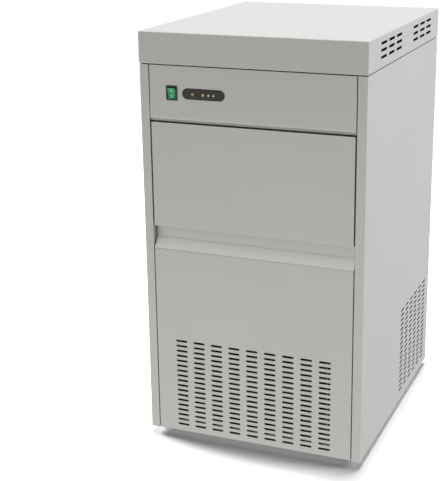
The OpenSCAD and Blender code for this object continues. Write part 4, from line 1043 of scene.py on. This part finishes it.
def indicator_plate():
    low, high = cab_box("indicator_plate")
    wide, tall, lip, depth = high.x - low.x, high.z - low.z, -low.y, high.y
    place = local(middle_of(low, high, 0), TO_FRONT)
    neck_wide, neck_tall, field = 88.0, 15.0, 1.1

    def stadium(inset):
        return rectangle(wide - 2 * inset, tall - 2 * inset, tall / 2 - inset, 12)

    neck = rectangle(neck_wide, neck_tall, neck_tall / 2, 12)
    levels = [
        (neck, -depth), (neck, 0), (stadium(0), 0), (stadium(0), lip - 0.7),
        (stadium(0.25), lip - 0.25), (stadium(0.8), lip), (stadium(2.6), lip),
        (stadium(3.0), field),
    ]
    fit_run("indicator_bezel", levels, place, "cabinet", "black_plastic", "indicator_plate")

    lamps, lamp_r, mark_drop = (-24.1, -0.3, 12.3, 23.8), 2.9, 5.6
    dome = [(lamp_r, -5), (lamp_r, 1.5), (2.7, 1.95), (2.2, 2.4), (1.3, 2.68), (0.5, 2.78)]
    mark = rectangle(4.6, 0.9, 0.2)
    bm, ink = bmesh.new(), bmesh.new()
    for x in lamps:
        skin(bm, turned(dome, 24), place @ Matrix.Translation((x, 0, 0)))
        under = place @ Matrix.Translation((x, -mark_drop, 0))
        skin(ink, [(mark, field - 0.1), (mark, field + 0.08)], under)
    fit(solid("lamp_domes", bm), "cabinet", "amber_lens", "indicator_lenses")
    fit(solid("lamp_marks", ink), "cabinet", None, finish_name="yellow_ink")


class ICE_OT_controls(bpy.types.Operator):
    """Rocker switch, indicator plate and lamps"""

    bl_idname = "ice_machine.controls"
    bl_label = "Controls"

    def execute(self, context):
        power_switch()
        indicator_plate()
        return {"FINISHED"}


class ICE_OT_feet(bpy.types.Operator):
    """Rubber feet with their studs and nuts"""

    bl_idname = "ice_machine.feet"
    bl_label = "Feet"

    def execute(self, context):
        low, high = cab_box("rubber_feet")
        r, pad_top, stud_r, nut = 15.0, 1.0, 4.0, 13.0
        # Radius and height up the ribbed pad
        pad = [
            (11.2, low.z), (12.6, low.z + 0.6), (13.0, low.z + 1.8), (13.3, -9.2), (12.4, -8.7),
            (12.4, -8.1), (13.5, -7.6), (13.8, -5.2), (12.9, -4.7), (12.9, -4.1), (14.1, -3.6),
            (r, -0.6), (r, 0.4), (14.4, pad_top)
        ]
        stud = turned([(stud_r, pad_top - 0.2), (stud_r, 2.2)])
        stud += [
            (hexagon(nut - 1), 2.2), (hexagon(nut), 2.8), (hexagon(nut), 8.1),
            (hexagon(nut - 1), 8.6)
        ]
        stud += screw_thread(stud_r, 0.5, 1.25, 8.6, high.z - 0.6) + turned([(3.2, high.z)])
        pads, studs = bmesh.new(), bmesh.new()
        for x in (low.x + r, high.x - r):
            for y in (low.y + r, high.y - r):
                place = local((x, y, 0))
                skin(pads, turned(pad), place)
                skin(studs, stud, place)
        fit(solid("foot_pads", pads), "cabinet", "black_rubber", "rubber_feet")
        fit(solid("foot_studs", studs), "cabinet", "stainless_bar")
        return {"FINISHED"}


def drain_spigot(rear):
    low, high = cab_box("drain_outlet")
    back, front = low.y - rear, high.y - rear
    bore = 7.0
    # Radius and distance behind the panel: nut, flange and the barbs of the spigot
    section = [
        (bore + 0.6, back), (10, back + 0.6), (10, -7), (15.4, -7), (16, -6.4), (16, -1),
        (10, -1), (10, 0), (16, 0), (16, 2.3), (15.3, 3), (10, 3), (9.4, 3.6), (9.4, 9),
        (10.6, 9.4), (10.6, 10.2), (9.3, 14.6), (10.6, 15), (10.6, 15.8), (9.3, 20.2),
        (10.4, 20.6), (10.4, 21.2), (8.4, front), (bore, front), (bore, back)
    ]
    levels, place = turned(section), local(middle_of(low, high, rear), TO_BACK)
    fit_run("drain_spigot", levels, place, "cabinet", "grey_plastic", "drain_outlet", ring=True)


def cable_gland(rear):
    low, high = cab_box("cable_gland")
    back, front = low.y - rear, high.y - rear
    bore, nut, nut_end = 4.5, hexagon(19.0), hexagon(18.0)
    levels = turned([(bore, back), (7.4, back)])
    levels += screw_thread(8.0, 0.5, 1.5, back + 0.4, -6.4)
    levels += [(nut_end, -6), (nut, -5.5), (nut, -1.4), (nut_end, -1)]
    levels += turned([(8, -1), (8, 0)])
    levels += [(nut_end, 0), (nut, 0.5), (nut, 4.4), (nut_end, 4.9)]
    levels += turned([(8.2, 4.9), (8.2, 5.3)])
    levels += [(ribbed(9.5, 0.6), 5.5), (ribbed(9.4, 0.6), 12)]
    levels += turned([
        (8.7, 13.4), (7.9, front - 1.6), (6.8, front - 0.4), (5.8, front),
        (bore + 0.6, front - 0.6), (bore, front - 1.6)
    ])
    place = local(middle_of(low, high, rear), TO_BACK)
    fit_run("gland_nut", levels, place, "cabinet", "black_plastic", "cable_gland", ring=True)


def water_inlet(rear):
    low, high = cab_box("water_valve")
    wide, tall, deep, corner = high.x - low.x, 36.0, 40.0, 4
    reach, bore, screen, coil_back = high.y - rear, 9.2, 6.0, low.y - rear
    middle = Vector(((low.x + high.x) / 2, rear - 1, low.z + VALVE_RISE))
    place = local(middle, TO_BACK)
    bm = bmesh.new()
    # Valve body: distance in from its sides and depth
    box = [(1.6, -deep), (0.5, -deep + 0.5), (0, -deep + 1.6), (0, -1.6), (0.5, -0.5), (1.6, 0)]
    skin(bm, [(rectangle(wide - 2 * i, tall - 2 * i, corner), h) for i, h in box], place)
    # Threaded stub with its bore down to the screen
    stub = turned([(12, -0.5), (12, 1.5)]) + screw_thread(13.2, 1.1, 2.3, 2.0, reach)
    stub += turned([
        (11.6, reach + 1), (bore + 0.5, reach + 1), (bore, reach + 0.4), (bore, screen)
    ])
    skin(bm, stub, place)
    coil = [
        (16, -deep + 0.3), (16, -deep - 2), (15.2, -deep - 2.6), (15.2, coil_back + 4),
        (16, coil_back + 3.4), (16, coil_back + 1.8), (14.6, coil_back + 1)
    ]
    skin(bm, turned(coil), place)
    # Hose tail with barbs, upwards from the body
    root, tip = VALVE_RISE, high.z - middle.z
    tail = [
        (5, root - 0.4), (5, root + 5), (5.6, root + 5.3), (4.8, root + 8), (5.6, root + 8.3),
        (4.8, tip - 3), (5.4, tip - 2.7), (4.2, tip)
    ]
    skin(bm, turned(tail), local(middle + Vector((0, -deep / 2, 0))))
    fit(solid("inlet_valve", bm), "cabinet", "white_plastic", "water_valve")


class ICE_OT_connections(bpy.types.Operator):
    """Drain spigot, cable gland and water inlet at the rear"""

    bl_idname = "ice_machine.connections"
    bl_label = "Rear connections"

    def execute(self, context):
        rear = cab_box("rear_panel")[1].y
        drain_spigot(rear)
        cable_gland(rear)
        water_inlet(rear)
        return {"FINISHED"}


class ICE_PT_panel(bpy.types.Panel):
    """Sizes, colours and the steps that build the machine"""

    bl_idname = "ICE_PT_panel"
    bl_label = "Flake ice machine"
    bl_space_type = "VIEW_3D"
    bl_region_type = "UI"
    bl_category = "Ice machine"

    def draw(self, context):
        layout = self.layout
        for group in PROPERTIES:
            box = layout.box()
            settings = getattr(context.scene, group)
            for name in settings.__annotations__:
                box.prop(settings, name)
        for operator in OPERATORS:
            layout.operator(operator.bl_idname)


PROPERTIES = {
    "ice_sheet": IceSheetSizes,
    "ice_vents": IceVentSizes,
    "ice_colours": IceColours,
    "ice_studio": IceStudio,
}
OPERATORS = [
    ICE_OT_stage,
    ICE_OT_finishes,
    ICE_OT_cover,
    ICE_OT_front_panels,
    ICE_OT_door,
    ICE_OT_side_panels,
    ICE_OT_rear_panel,
    ICE_OT_controls,
    ICE_OT_feet,
    ICE_OT_connections,
]
CLASSES = [*PROPERTIES.values(), *OPERATORS, ICE_PT_panel]


def register():
    for cls in CLASSES:
        bpy.utils.register_class(cls)
    for name, cls in PROPERTIES.items():
        setattr(bpy.types.Scene, name, PointerProperty(type=cls))


def unregister():
    for name in PROPERTIES:
        delattr(bpy.types.Scene, name)
    for cls in reversed(CLASSES):
        bpy.utils.unregister_class(cls)


def main():
    register()
    for operator in OPERATORS:
        group, name = operator.bl_idname.split(".")
        getattr(getattr(bpy.ops, group), name)()


if __name__ == "__main__":
    main()
